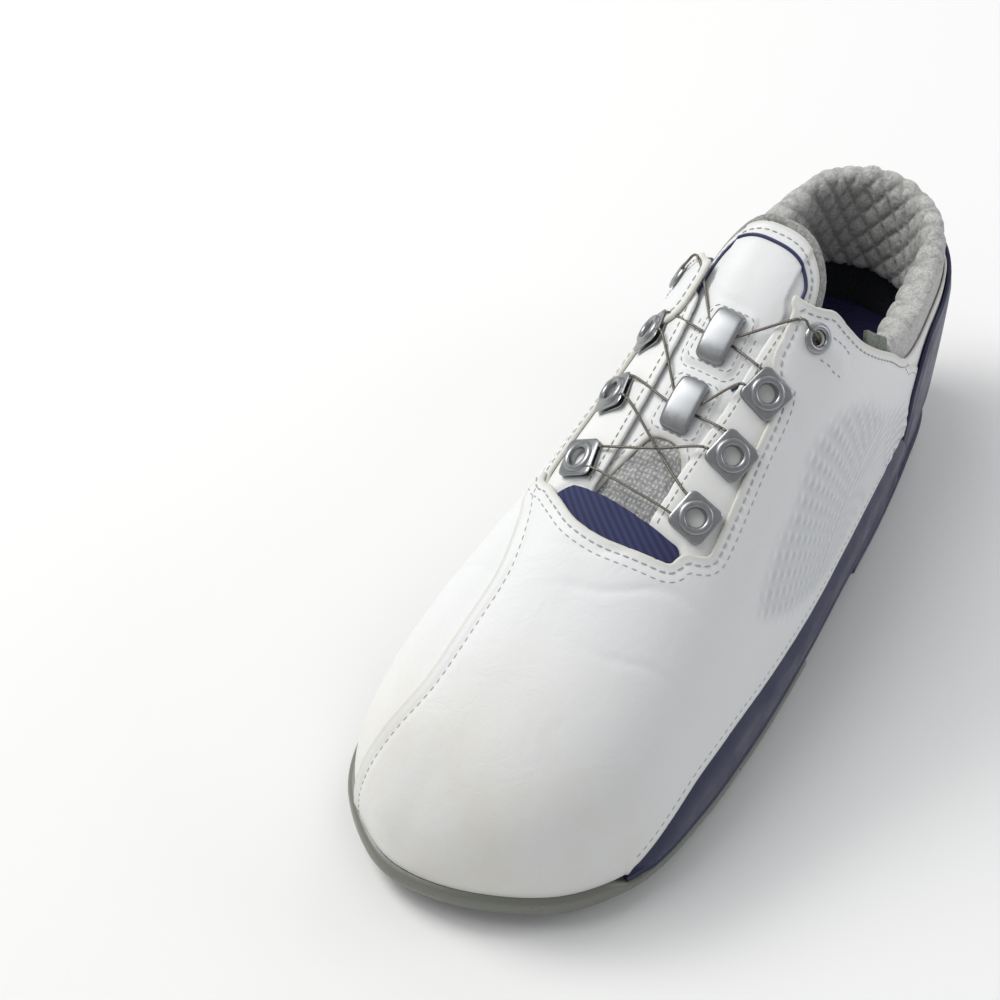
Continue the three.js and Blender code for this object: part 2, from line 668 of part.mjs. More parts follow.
const knobStart = housingTop + fitGap;
const knobEnd = knobStart + dialKnobDepth;
const headStart = knobStart + pawlDepth + fitGap;
const headEnd = headStart + screwHeadDepth;
const screwProfile = [[0, fitGap], [screwRadius, fitGap], [screwRadius, headStart], [screwHead, headStart],
  [screwHead, headEnd], [0, headEnd]];
add('dial_screw', dialSolid(lathe(screwProfile, 16)), 'steel');

const pawlBore = screwHead + fitGap;
const knobCavity = dialRadius - dialWall;
const pawlOuter = knobCavity - 1;
const pawlEnd = knobStart + pawlDepth;
const pawlProfile = [[pawlBore, knobStart], [pawlOuter, knobStart], [pawlOuter, pawlEnd],
  [pawlBore, pawlEnd], [pawlBore, knobStart]];
add('dial_pawl', dialSolid(lathe(pawlProfile, 16)), 'clearPlastic');

const knobWeb = 2.2;
const faceRadius = 10;
const faceDepth = 0.9;
const knobOutline = new THREE.Shape();
for (let k = 0; k < knobRibs * 4; k += 1) {
  const angle = 2 * Math.PI * k / (knobRibs * 4);
  const radius = dialRadius + (k % 4 < 2 ? 0 : -0.9);
  knobOutline.lineTo(radius * Math.cos(angle), radius * Math.sin(angle));
}
const knobBlock = new THREE.ExtrudeGeometry(knobOutline, { depth: dialKnobDepth, bevelEnabled: false });
const knobHollow = lathe([[0, -1], [knobCavity, -1], [knobCavity, dialKnobDepth - knobWeb],
  [0, dialKnobDepth - knobWeb]], 24);
const faceRecess = lathe([[0, dialKnobDepth - faceDepth], [faceRadius, dialKnobDepth - faceDepth],
  [faceRadius, dialKnobDepth + 1], [0, dialKnobDepth + 1]], 24);
const lift = (geometry) => dialSolid(geometry.translate(0, 0, knobStart));
add('dial_knob', without(lift(knobBlock), lift(knobHollow), lift(faceRecess)), 'greyRubber');
const faceStart = knobEnd - faceDepth + fitGap;
const faceProfile = [[0, faceStart], [faceRadius - fitGap, faceStart], [faceRadius - fitGap, knobEnd],
  [faceRadius - 1.2, knobEnd + 0.4], [0, knobEnd + 0.6]];
add('dial_face', dialSolid(lathe(faceProfile, 24)), 'navyPlastic');

// ---- the sole ---------------------------------------------------------------------------------

const outsoleTop = raised(groundLine, outsoleThickness);
const frameBottom = raised(groundLine, outsoleThickness + fitGap);
const frameTop = raised(featherLine, -fitGap);
const skyLine = raised(featherLine, reach);
const toeBox = sideBand(toeBreak - fitGap, -200);
const behindToe = sideBand(toeBreak, 200);

const frameInset = 1.2;
const pocketInset = 3;
const frameTray = solePrism(frameInset).add(solePrism(frameOut).intersect(behindToe))
  .intersect(slab(frameBottom, frameTop));
const frameSides = outerLayer.intersect(sidePrism(foxing)).intersect(slab(frameBottom, skyLine));
const pocketFloor = raised(groundLine, outsoleThickness + fitGap + frameFloor);
const pocket = solePrism(pocketInset).intersect(slab(pocketFloor, skyLine));
add('sole_frame', frameTray.add(frameSides).subtract(pocket), 'navyPlastic');

const groundOf = (y) => {
  const at = groundLine.findIndex(([station]) => station <= y);
  const [[y0, z0], [y1, z1]] = groundLine.slice(at - 1, at + 1);
  return z0 + (z1 - z0) * (y - y0) / (y1 - y0);
};
function atCleat(geometry, [x, y], height) {
  return toSolid(geometry.translate(x * gradeX, y * gradeY, groundOf(y) + height));
}

const sockets = cleatSpots.map((spot) => {
  const radius = receptacleRadius + fitGap;
  const bore = new THREE.CylinderGeometry(radius, radius, 4 * outsoleThickness, 10).rotateX(Math.PI / 2);
  return atCleat(bore, spot, 0);
});
const rimPrism = solePrism(-outsoleRim);
const sheet = rimPrism.intersect(slab(groundLine, outsoleTop));
const toeLip = rimPrism.subtract(solePrism(frameInset - fitGap)).intersect(toeBox)
  .intersect(slab(raised(groundLine, 1), frameTop));
const forefoot = sheet.intersect(sideBand(forefootEnd, -200)).add(toeLip);
add('forefoot_outsole', without(forefoot, sockets), 'clearPlastic');
add('heel_outsole', without(sheet.intersect(sideBand(heelPieceEnd, 200)), sockets), 'navyPlastic');

function shankRoom(gap) {
  const half = shankWidth / 2 + gap;
  const [start, end] = [shankStart - gap, shankStart + shankLength + gap];
  return planPrism([[-half, start], [half, start], [half, end], [-half, end]]);
}
const shankBottom = raised(frameTop, -shankThickness);
add('shank', shankRoom(0).intersect(slab(shankBottom, frameTop)), 'steel');
const midsoleBody = solePrism(pocketInset + fitGap).intersect(slab(raised(pocketFloor, fitGap), frameTop));
const shankSlot = shankRoom(fitGap).intersect(slab(raised(shankBottom, -fitGap), skyLine));
add('midsole', midsoleBody.subtract(shankSlot), 'foam');

const footSpace = inside(liningIn + fitGap);
const boardTop = raised(featherLine, insoleBoardThickness);
add('insole_board', footSpace.intersect(slab(featherLine, boardTop)), 'board');
const linerBottom = raised(boardTop, fitGap);
add('sockliner', footSpace.intersect(slab(linerBottom, raised(linerBottom, sockLinerThickness))), 'navyKnit');

const cleatDisc = 1.8;
const prongCircle = cleatRadius - 2.6;
cleatSpots.forEach((spot, k) => {
  const discTop = -fitGap;
  const disc = lathe([[0, discTop - cleatDisc], [prongCircle + 1, discTop - cleatDisc], [prongCircle + 1.6, discTop],
    [cleatStem, discTop], [cleatStem, outsoleThickness - 1], [0, outsoleThickness - 1]], 8);
  let cleat = atCleat(disc, spot, 0);
  for (let prong = 0; prong < cleatProngs; prong += 1) {
    const angle = 2 * Math.PI * prong / cleatProngs;
    const length = cleatHeight - fitGap - cleatDisc / 2;
    const leg = new THREE.CylinderGeometry(2.4, 1.3, length, 4).rotateX(Math.PI / 2);
    leg.translate(prongCircle * Math.cos(angle), prongCircle * Math.sin(angle), length / 2);
    cleat = cleat.add(atCleat(leg, spot, -cleatHeight));
  }
  add(`cleat_${k + 1}`, cleat, 'clearPlastic');
  const cup = lathe([[cleatStem + fitGap, 0], [receptacleRadius, 0], [receptacleRadius, outsoleThickness - 0.2],
    [cleatStem + fitGap, outsoleThickness - 0.2], [cleatStem + fitGap, 0]], 10);
  add(`receptacle_${k + 1}`, atCleat(cup, spot, 0), 'greyRubber');
});

// The frame's origin is under the middle of the shoe, on the ground
const group = new THREE.Group();
for (const mesh of parts) group.add(mesh);
const box = new THREE.Box3().setFromObject(group);
const middle = box.getCenter(new THREE.Vector3());
group.position.set(-middle.x, -middle.y, -box.min.z);

export default group;
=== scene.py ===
# A left golf shoe: white leather upper over a navy and grey moulded sole, laced with a steel
# cable that a dial on the heel winds in. Metres, in the frame of the loaded model.
import math

import bmesh
import bpy
import numpy as np
from mathutils import Matrix, Vector
from mathutils.kdtree import KDTree


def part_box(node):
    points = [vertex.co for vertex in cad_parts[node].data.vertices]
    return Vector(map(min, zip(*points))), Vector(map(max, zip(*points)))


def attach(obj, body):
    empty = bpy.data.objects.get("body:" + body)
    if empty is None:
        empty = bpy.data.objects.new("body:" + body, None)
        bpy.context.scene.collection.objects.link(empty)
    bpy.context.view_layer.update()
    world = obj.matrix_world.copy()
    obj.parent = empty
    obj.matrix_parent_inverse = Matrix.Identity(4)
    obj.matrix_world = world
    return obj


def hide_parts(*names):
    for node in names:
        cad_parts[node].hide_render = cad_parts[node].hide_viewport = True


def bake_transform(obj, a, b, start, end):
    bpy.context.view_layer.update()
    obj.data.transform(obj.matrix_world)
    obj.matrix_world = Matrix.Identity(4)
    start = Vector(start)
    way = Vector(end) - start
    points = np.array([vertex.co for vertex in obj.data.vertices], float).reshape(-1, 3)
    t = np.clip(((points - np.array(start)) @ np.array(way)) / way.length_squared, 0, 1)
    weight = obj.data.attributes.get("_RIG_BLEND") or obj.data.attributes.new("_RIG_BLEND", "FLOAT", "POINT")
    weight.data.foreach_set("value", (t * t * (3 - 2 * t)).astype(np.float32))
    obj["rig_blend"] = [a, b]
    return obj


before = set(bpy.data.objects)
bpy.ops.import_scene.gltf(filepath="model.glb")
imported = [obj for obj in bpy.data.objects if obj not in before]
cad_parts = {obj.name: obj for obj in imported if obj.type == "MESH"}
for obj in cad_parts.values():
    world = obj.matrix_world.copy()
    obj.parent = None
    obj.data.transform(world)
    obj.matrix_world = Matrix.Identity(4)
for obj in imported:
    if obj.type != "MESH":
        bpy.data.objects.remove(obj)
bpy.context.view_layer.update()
scene = bpy.context.scene
MM = 0.001

# --- Camera ---------------------------------------------------------------------------------
# A short telephoto looks down on the toe from the outer side. The shoe's own drawing frame has
# its origin under the last, so every drawn point is shifted to the loaded model's frame, which
# the middle of the steel shank gives: it lies on the drawing's centre line, 20 mm behind zero.

shank_low, shank_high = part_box("shank")
drawing_zero = np.array([
    (shank_low[0] + shank_high[0]) / 2,
    (shank_low[1] + shank_high[1]) / 2 - 20 * MM,
    0.0,
])

view_azimuth, view_elevation, view_roll = (math.radians(a) for a in (32.7, 47.9, 2.0))
view_distance = 0.693
view_target = Vector(drawing_zero) + Vector((-0.0559, -0.0249, 0.040))
back = Vector((
    math.sin(view_azimuth) * math.cos(view_elevation),
    -math.cos(view_azimuth) * math.cos(view_elevation),
    math.sin(view_elevation),
))
level_right = Vector((math.cos(view_azimuth), math.sin(view_azimuth), 0))
level_up = back.cross(level_right)
right = level_right * math.cos(view_roll) + level_up * math.sin(view_roll)
up = level_up * math.cos(view_roll) - level_right * math.sin(view_roll)
camera = bpy.data.objects.new("camera", bpy.data.cameras.new("camera"))
scene.collection.objects.link(camera)
camera.data.sensor_width = 36
camera.data.lens = 36 * 2.912 * view_distance
camera.data.clip_start = 0.05
camera.matrix_world = Matrix.Translation(view_target + back * view_distance) @ Matrix(
    (right, up, back)).transposed().to_4x4()
scene.camera = camera

# --- Studio ---------------------------------------------------------------------------------
# A pale matt floor in a bright even room. A large soft lamp from the left makes the shading, two
# weaker ones lift the sides and the back, and a broad high light keeps the floor pale.


def linear(code):
    """An sRGB hex colour as linear red, green, blue and alpha."""
    parts = [int(code[i:i + 2], 16) / 255 for i in (1, 3, 5)]
    return [c / 12.92 if c <= 0.04045 else ((c + 0.055) / 1.055) ** 2.4 for c in parts] + [1.0]


def add_node(tree, kind, settings=None, inputs=None):
    """Adds a node, sets its properties, and sets or links its inputs."""
    made = tree.nodes.new(kind)
    for key, value in (settings or {}).items():
        setattr(made, key, value)
    for key, value in (inputs or {}).items():
        if isinstance(value, bpy.types.NodeSocket):
            tree.links.new(value, made.inputs[key])
        else:
            made.inputs[key].default_value = value
    return made


def new_material(name, **shader_inputs):
    """A material with a Principled shader, and its tree and shader node."""
    made = bpy.data.materials.new(name)
    made.use_nodes = True
    shader = made.node_tree.nodes["Principled BSDF"]
    for key, value in shader_inputs.items():
        shader.inputs[key.replace("_", " ")].default_value = value
    return made, made.node_tree, shader


def mix_colours(tree, share, first, second):
    """A colour between two, by a share."""
    mixed = add_node(tree, "ShaderNodeMix", {"data_type": "RGBA"},
                     {"Factor": share, "A": first, "B": second})
    return mixed.outputs["Result"]


def add_bump(tree, strength, depth, height, normal=None):
    """A normal that is bumped to a depth in mm."""
    inputs = {"Strength": strength, "Distance": depth * MM, "Height": height}
    if normal is not None:
        inputs["Normal"] = normal
    return add_node(tree, "ShaderNodeBump", None, inputs).outputs["Normal"]


def link_object(name, mesh):
    made = bpy.data.objects.new(name, mesh)
    scene.collection.objects.link(made)
    return made


floor_mesh = bpy.data.meshes.new("floor")
floor_half = 30.0
floor_mesh.from_pydata(
    [(-floor_half, -floor_half, 0), (floor_half, -floor_half, 0), (floor_half, floor_half, 0),
     (-floor_half, floor_half, 0)], [], [(0, 1, 2, 3)])
floor = link_object("floor", floor_mesh)
floor_paper, _, _ = new_material("Matt white studio paper", Base_Color=linear("#F2F2F1"), Roughness=0.9)
floor_mesh.materials.append(floor_paper)

room = bpy.data.worlds.new("room")
room.use_nodes = True
room.node_tree.nodes["Background"].inputs["Color"].default_value = linear("#F7F8FA")
room.node_tree.nodes["Background"].inputs["Strength"].default_value = 0.42
scene.world = room
scene.view_settings.view_transform = "Standard"

lamps = {
    "key": ((-0.8, -0.1, 0.9), 0.45, 6.0, "#FFFEFA"),
    "fill": ((0.9, 0.7, 0.6), 0.5, 2.2, "#F4F7FF"),
    "back lamp": ((-0.1, 1.1, 0.9), 0.8, 2.4, "#FFFFFF"),
}
for lamp_name, (place, size, power, tint) in lamps.items():
    lamp = bpy.data.lights.new(lamp_name, "AREA")
    lamp.size = size
    lamp.energy = power
    lamp.color = linear(tint)[:3]
    lamp_object = link_object(lamp_name, lamp)
    lamp_object.location = place
    lamp_object.rotation_mode = "QUATERNION"
    lamp_object.rotation_quaternion = Vector(place).to_track_quat("Z", "Y")
ceiling = bpy.data.lights.new("ceiling", "SUN")
ceiling.energy = 0.95
ceiling.angle = math.radians(40)
ceiling_object = link_object("ceiling", ceiling)
ceiling_object.rotation_mode = "QUATERNION"
ceiling_object.rotation_quaternion = Vector((-0.9, -0.3, 1.6)).to_track_quat("Z", "Y")

# --- Last -----------------------------------------------------------------------------------
# The wooden form that the upper is pulled over. Every leather, textile and moulded piece of the
# upper is cut out of its surface, at its own depth. Stations run from heel to toe, in mm: y and x
# of the inner feather edge, y and x of the outer one, x and y of the ridge, its rise over the
# feather edge, and the share of the heel's stack that is under it.

stations = np.array([
    [148, 0, 148, 0, 0, 148, 142, 1],
    [143, -20, 143, 20, 0, 143, 142, 1],
    [128, -32, 128, 33, 0, 128, 142, 1],
    [100, -36.5, 100, 40, 0, 100, 141, 0.92],
    [65, -35, 65, 46, 1, 65, 134, 0.85],
    [30, -35, 28, 51, 3, 30, 122, 0.69],
    [-5, -38, -8, 55, 4, -6, 103, 0.46],
    [-40, -44, -44, 57, 4, -42, 83, 0.23],
    [-75, -49, -78, 57, 3, -76, 65, 0.08],
    [-105, -48, -107, 53, 0, -106, 51, 0],
    [-129, -40.5, -130, 39, -5, -129, 37, 0],
    [-144, -25, -145, 15, -8, -144, 21, 0],
    [-150, -8, -150, -8, -8, -150, 2, 0],
], float)
side_fullness, top_fullness = 0.80, 0.86
fore_feather, heel_feather = 15.0, 28.0
swapped = [2, 3, 0, 1, 4, 5, 6, 7]
padded_stations = np.vstack([stations[1][swapped], stations, stations[-2][swapped]])


def spline(a, b, c, d, u):
    """A Catmull-Rom curve between b and c."""
    bend = 2 * a - 5 * b + 4 * c - d
    twist = 3 * b - a - 3 * c + d
    return 0.5 * (2 * b + (c - a) * u + bend * u ** 2 + twist * u ** 3)


def last_point(t, v):
    """Points of the last: t from heel to toe, v from the inner feather edge over the ridge to the outer."""
    t, v = np.broadcast_arrays(np.asarray(t, float), np.asarray(v, float))
    along = np.clip(t, 0, 1) * (len(stations) - 1)
    first = np.minimum(along.astype(int), len(stations) - 2)
    u = (along - first)[..., None]
    a, b, c, d = (padded_stations[first + k] for k in range(4))
    s = spline(a, b, c, d, u)
    inner = v < 0
    side_x = np.where(inner, s[..., 1], s[..., 3])
    side_y = np.where(inner, s[..., 0], s[..., 2])
    angle = (1 - np.abs(v)) * np.pi / 2
    across = np.clip(np.cos(angle), 0, 1) ** side_fullness
    rise = np.clip(np.sin(angle), 0, 1) ** top_fullness
    feather = fore_feather + s[..., 7] * (heel_feather - fore_feather)
    return np.stack([
        s[..., 4] + (side_x - s[..., 4]) * across,
        s[..., 5] + (side_y - s[..., 5]) * across,
        feather + s[..., 6] * rise,
    ], -1)


def side_normal(t, v):
    step = 1e-3
    along_t = last_point(np.minimum(t + step, 1), v) - last_point(np.maximum(t - step, 0), v)
    along_v = last_point(t, np.minimum(v + step, 1)) - last_point(t, np.maximum(v - step, -1))
    normal = np.cross(along_t, along_v)
    return normal / (np.linalg.norm(normal, axis=-1, keepdims=True) + 1e-12)


def last_normal(t, v):
    """Outward normals; the two sides share the mean of theirs where they meet at heel and toe."""
    t, v = np.broadcast_arrays(np.asarray(t, float), np.asarray(v, float))
    near = np.maximum(np.abs(v), 0.05)
    mean = side_normal(t, near) + side_normal(t, -near)
    mean /= np.linalg.norm(mean, axis=-1, keepdims=True)
    at_end = ((t <= 0) | (t >= 1))[..., None]
    return np.where(at_end, mean, side_normal(t, v))


def skin(t, v, height):
    """Points at a height over the last, in mm; below its surface the height is negative."""
    return last_point(t, v) + last_normal(t, v) * np.asarray(height, float)[..., None]


def to_model(points):
    """Points of the drawing, in mm, as points of the loaded model, in metres."""
    return np.asarray(points, float) * MM + drawing_zero


# A grid over the whole last, with about one cell a millimetre each way
cell = 1.0
coarse_t = np.linspace(0, 1, 600)
stride = np.linalg.norm(np.diff(last_point(coarse_t[:, None], np.linspace(-1, 1, 41)), axis=0), axis=-1)
travel = np.concatenate([[0], np.cumsum(stride.max(axis=1))])
grid_t = np.interp(np.linspace(0, travel[-1], int(travel[-1] / cell) + 1), travel, coarse_t)
grid_v = np.linspace(-1, 1, 233)
T, V = np.meshgrid(grid_t, grid_v, indexing="ij")
P, N = last_point(T, V), last_normal(T, V)


def smooth_outline(points, closed=True, spacing=0.8):
    """A Catmull-Rom curve through drawn points, at an even spacing."""
    drawn = np.array(points, float)
    ends = (drawn[-1:], drawn[:2]) if closed else (drawn[:1], drawn[-1:])
    drawn = np.vstack([ends[0], drawn, ends[1]])
    curve = []
    for a, b, c, d in zip(drawn, drawn[1:], drawn[2:], drawn[3:]):
        steps = max(2, int(np.linalg.norm(c - b) / spacing))
        u = (np.arange(steps) / steps)[:, None]
        curve.append(0.5 * (2 * b + (c - a) * u + (2 * a - 5 * b + 4 * c - d) * u ** 2
                            + (3 * b - a - 3 * c + d) * u ** 3))
    if not closed:
        curve.append(drawn[-2:-1])
    return np.vstack(curve)


def from_outline(flat, outline):
    """Distance of flat points from a closed outline, positive inside."""
    x, y = flat[..., 0].ravel(), flat[..., 1].ravel()
    nearest = np.full(x.shape, 1e9)
    inside = np.zeros(x.shape, bool)
    for (x0, y0), (x1, y1) in zip(outline, np.roll(outline, -1, axis=0)):
        dx, dy = x1 - x0, y1 - y0
        share = np.clip(((x - x0) * dx + (y - y0) * dy) / (dx * dx + dy * dy + 1e-12), 0, 1)
        nearest = np.minimum(nearest, (x - x0 - share * dx) ** 2 + (y - y0 - share * dy) ** 2)
        crosses = (y0 > y) != (y1 > y)
        inside ^= crosses & (x < dx * (y - y0) / (dy if dy else 1e-12) + x0)
    return (np.sqrt(nearest) * np.where(inside, 1, -1)).reshape(flat.shape[:-1])


def crossings(field):
    """Where a grid field changes sign: fractional grid places, and the pairs of them that make a line."""
    positive = field > 0
    found, places, edges = {}, [], []
    mixed = (positive[:-1, :-1] != positive[1:, 1:]) | (positive[1:, :-1] != positive[:-1, 1:])
    mixed |= positive[:-1, :-1] != positive[1:, :-1]
    for i, j in zip(*np.nonzero(mixed)):
        ends = []
        for low, high in (((i, j), (i + 1, j)), ((i, j), (i, j + 1)), ((i + 1, j), (i + 1, j + 1)),
                          ((i, j + 1), (i + 1, j + 1))):
            if positive[low] != positive[high]:
                if (low, high) not in found:
                    share = field[low] / (field[low] - field[high])
                    found[low, high] = len(places)
                    places.append([a + share * (b - a) for a, b in zip(low, high)])
                ends.append(found[low, high])
        if len(ends) == 2:
            edges.append(ends)
    return np.array(places), edges


def t_and_v(places):
    return (np.interp(places[:, 0], np.arange(len(grid_t)), grid_t),
            np.interp(places[:, 1], np.arange(len(grid_v)), grid_v))


def on_surface(flat_distance):
    """A distance measured in a flat view, turned to one measured over the last from the same line."""
    places, edges = crossings(flat_distance)
    line = last_point(*t_and_v(places))
    first, last = line[[a for a, _ in edges]], line[[b for _, b in edges]]
    tree = KDTree(4 * len(edges))
    for k in range(4):
        for number, point in enumerate(first + (last - first) * k / 4):
            tree.insert(Vector(point), number)
    tree.balance()
    distance = np.array([tree.find(Vector(point))[2] for point in P.reshape(-1, 3)]).reshape(T.shape)
    return distance * np.where(flat_distance > 0, 1, -1)


def plan_distance(points, closed_smooth=True):
    outline = smooth_outline(points) if closed_smooth else np.array(points, float)
    return on_surface(from_outline(P[..., :2], outline))


def side_distance(points, closed_smooth=False):
    outline = smooth_outline(points) if closed_smooth else np.array(points, float)
    return on_surface(from_outline(P[..., 1:], outline))


def trim(inside):
    """The part of the grid where a field is positive, cut exactly at zero: t, v and faces."""
    rows, columns = inside.shape
    found, corners, faces = {}, [], []

    def corner(key, value):
        if key not in found:
            found[key] = len(corners)
            corners.append(value)
        return found[key]

    positive = inside > 0
    count = (positive[:-1, :-1].astype(int) + positive[1:, :-1] + positive[1:, 1:] + positive[:-1, 1:])
    for i, j in zip(*np.nonzero(count)):
        ring = [(i, j), (i + 1, j), (i + 1, j + 1), (i, j + 1)]
        face = []
        for here, after in zip(ring, ring[1:] + ring[:1]):
            if positive[here]:
                face.append(corner(here, (float(here[0]), float(here[1]))))
            if positive[here] != positive[after]:
                low, high = sorted((here, after))
                share = inside[low] / (inside[low] - inside[high])
                place = (low[0] + share * (high[0] - low[0]), low[1] + share * (high[1] - low[1]))
                face.append(corner((low, high), place))
        if len(face) > 2:
            faces.append(face)
    return np.array(corners), faces


def at_places(field, places):
    """A grid field read at fractional grid places."""
    i = np.clip(places[:, 0].astype(int), 0, field.shape[0] - 2)
    j = np.clip(places[:, 1].astype(int), 0, field.shape[1] - 2)
    a, b = places[:, 0] - i, places[:, 1] - j
    if field.ndim == 3:
        a, b = a[:, None], b[:, None]
    return (field[i, j] * (1 - a) * (1 - b) + field[i + 1, j] * a * (1 - b)
            + field[i + 1, j + 1] * a * b + field[i, j + 1] * (1 - a) * b)


def cut_sheet(name, inside, height, thickness, fields=None, edge_radius=None):
    """A closed sheet cut out of the last's surface, with half-round edges.

    height is the outer face's height over the last, in mm, as a number or a field. fields are
    stored on the vertices as float attributes, and so is the distance from the edge.
    """
    height = np.broadcast_to(np.asarray(height, float), P.shape[:2])
    places, faces = trim(inside)
    t, v = t_and_v(places)
    point, normal = last_point(t, v), last_normal(t, v)
    lift = at_places(height, places)[:, None]
    layers = {"edge_mm": at_places(inside, places)}
    layers.update({key: at_places(field, places) for key, field in (fields or {}).items()})
    layers.update(dict(zip(("n_x", "n_y", "n_z"), normal.T)))
    sheet = bmesh.new()
    for key in layers:
        sheet.verts.layers.float.new(key)
    stored = {key: sheet.verts.layers.float[key] for key in layers}
    top = [sheet.verts.new(p) for p in point + normal * lift]
    for face in faces:
        sheet.faces.new([top[k] for k in face])
    for key, layer in stored.items():
        for vertex, value in zip(top, layers[key]):
            vertex[layer] = float(value)
    bmesh.ops.remove_doubles(sheet, verts=sheet.verts, dist=0.22)
    bmesh.ops.dissolve_degenerate(sheet, dist=0.02, edges=sheet.edges)
    loose = [vertex for vertex in sheet.verts if not vertex.link_faces]
    bmesh.ops.delete(sheet, geom=loose, context="VERTS")
    sheet.verts.index_update()
    top_faces = [[vertex for vertex in face.verts] for face in sheet.faces]
    rim = [edge for edge in sheet.edges if edge.is_boundary]
    n_layers = [stored[key] for key in ("n_x", "n_y", "n_z")]
    normals = {vertex: Vector([vertex[layer] for layer in n_layers]).normalized() for vertex in sheet.verts}
    outward = {}
    for edge in rim:
        face = edge.link_faces[0]
        middle = (edge.verts[0].co + edge.verts[1].co) / 2
        along = (edge.verts[1].co - edge.verts[0].co).normalized()
        away = along.cross(normals[edge.verts[0]])
        if away.dot(face.calc_center_median() - middle) > 0:
            away = -away
        for vertex in edge.verts:
            outward[vertex] = outward.get(vertex, Vector()) + away * edge.calc_length()
    neighbours = {}
    for edge in rim:
        for one, other in (edge.verts, reversed(edge.verts)):
            neighbours.setdefault(one, []).append(other)
    for _ in range(3):
        beside = {vertex: sum((outward[other].normalized() for other in neighbours[vertex]), Vector())
                  for vertex in outward}
        outward = {vertex: (way.normalized() * 2 + beside[vertex]).normalized()
                   for vertex, way in outward.items()}
    radius = thickness / 2 if edge_radius is None else edge_radius
    bands = [(math.sin(a) * radius, (1 - math.cos(a)) * thickness / 2) for a in
             (math.radians(angle) for angle in (40, 80, 100, 140))]
    copies = []
    for out, down in bands:
        ring = {}
        for vertex in outward:
            twin = sheet.verts.new(vertex.co + outward[vertex] * out - normals[vertex] * down)
            for layer in stored.values():
                twin[layer] = vertex[layer]
            ring[vertex] = twin
        copies.append(ring)
    under = {}
    for vertex in normals:
        twin = sheet.verts.new(vertex.co - normals[vertex] * thickness)
        for layer in stored.values():
            twin[layer] = vertex[layer]
        under[vertex] = twin
    for face in top_faces:
        sheet.faces.new([under[vertex] for vertex in reversed(face)])
    steps = [{vertex: vertex for vertex in outward}, *copies, under]
    for edge in rim:
        loop = next(corner for corner in edge.link_faces[0].loops if corner.edge == edge)
        first, second = loop.vert, loop.link_loop_next.vert
        for near, far in zip(steps, steps[1:]):
            sheet.faces.new([near[second], near[first], far[first], far[second]])
    for vertex in sheet.verts:
        vertex.co = Vector(to_model(vertex.co))
    mesh = bpy.data.meshes.new(name)
    for face in sheet.faces:
        face.smooth = True
    bmesh.ops.recalc_face_normals(sheet, faces=sheet.faces)
    sheet.to_mesh(mesh)
    sheet.free()
    for key in ("n_x", "n_y", "n_z"):
        mesh.attributes.remove(mesh.attributes[key])
    return link_object(name, mesh)


# --- Leather upper --------------------------------------------------------------------------
# Full-grain calf leather with a white coat. One panel makes the toe, the outer vamp and the outer
# quarter, and laps over the inner panel along the toe seam; a third covers the heel. Both quarters
# are embossed with rings and dots, and every edge is top-stitched with grey polyester thread.

topline = [(22, 170), (22, 142), (23, 137), (26, 134.5), (29.5, 132), (32, 126), (37, 118), (46, 109),
           (58, 98.5), (68, 88.5), (78, 82), (92, 79), (110, 79), (130, 81), (170, 84), (170, 170)]
throat = [(18, 90), (18.5, 28), (21, 19), (22, 12), (22.5, 6), (25, 2), (28.5, 0), (30, -5), (31, -16),
          (32.7, -30), (34, -42), (33.8, -46), (31, -48.5), (27.8, -50.5), (26.6, -53), (25, -55.6),
          (16, -57.5), (3, -58.8), (-8, -57.2), (-16, -53), (-20.5, -50), (-22.5, -48.3), (-26, -46.5),
          (-27.6, -43), (-27.5, -30), (-26, -16), (-25.2, -2), (-22.5, 4.5), (-17, 5.5), (-13.5, 8),
          (-12.5, 14), (-12.3, 26), (-12, 90)]
seam = [(-27, -41), (-29.5, -46), (-29, -51), (-26, -58), (-23, -68), (-21.3, -78), (-21.6, -93),
        (-23, -113), (-27, -126), (-30.5, -135), (-33, -139), (-50, -160)]
rear_edge = [(94, -20), (94, 27), (94.5, 40), (96, 52), (92, 64), (84, 73), (76, 80), (70, 100),
             (70, 190)]

below_topline = -side_distance(topline, True)
outside_throat = -plan_distance(throat, True)
seam_curve = smooth_outline(seam, closed=False)
outer_of_seam = on_surface(from_outline(
    P[..., :2], np.vstack([seam_curve, [(300, -160), (300, 300), (2, 300), (2, -41)]])))
ahead_of_rear = on_surface(from_outline(
    P[..., 1:], np.vstack([smooth_outline(rear_edge, closed=False), [(-300, 190), (-300, -20)]])))

foxing = [(-170, -30), (-121, -12), (-112, 14.5), (-108, 19), (-101, 24), (-92, 29), (-78, 34.5),
          (-59, 37.5), (-40, 38), (-5, 39.5), (28, 42), (65, 43.5), (82, 42), (87, 38), (90, 22),
          (92, -30)]
foxing_line = smooth_outline(foxing, closed=False)
far_round = [(300, -30), (300, 300), (-300, 300), (-300, -30)]
above_foxing = on_surface(from_outline(P[..., 1:], np.vstack([foxing_line, far_round])))
opening = np.minimum(below_topline, outside_throat)
lap = 7.0
fore = T > 0.56
lateral_inside = np.minimum.reduce([outer_of_seam, opening, ahead_of_rear, above_foxing])
lateral_inside = np.where((V < -0.25) & ~fore, -1.0, lateral_inside)
medial_inside = np.minimum.reduce([lap - outer_of_seam, opening, ahead_of_rear, above_foxing])
medial_inside = np.where((V > 0.25) & ~fore, -1.0, medial_inside)


def soft_step(field, start, end):
    u = np.clip((field - start) / (end - start), 0, 1)
    return u * u * (3 - 2 * u)


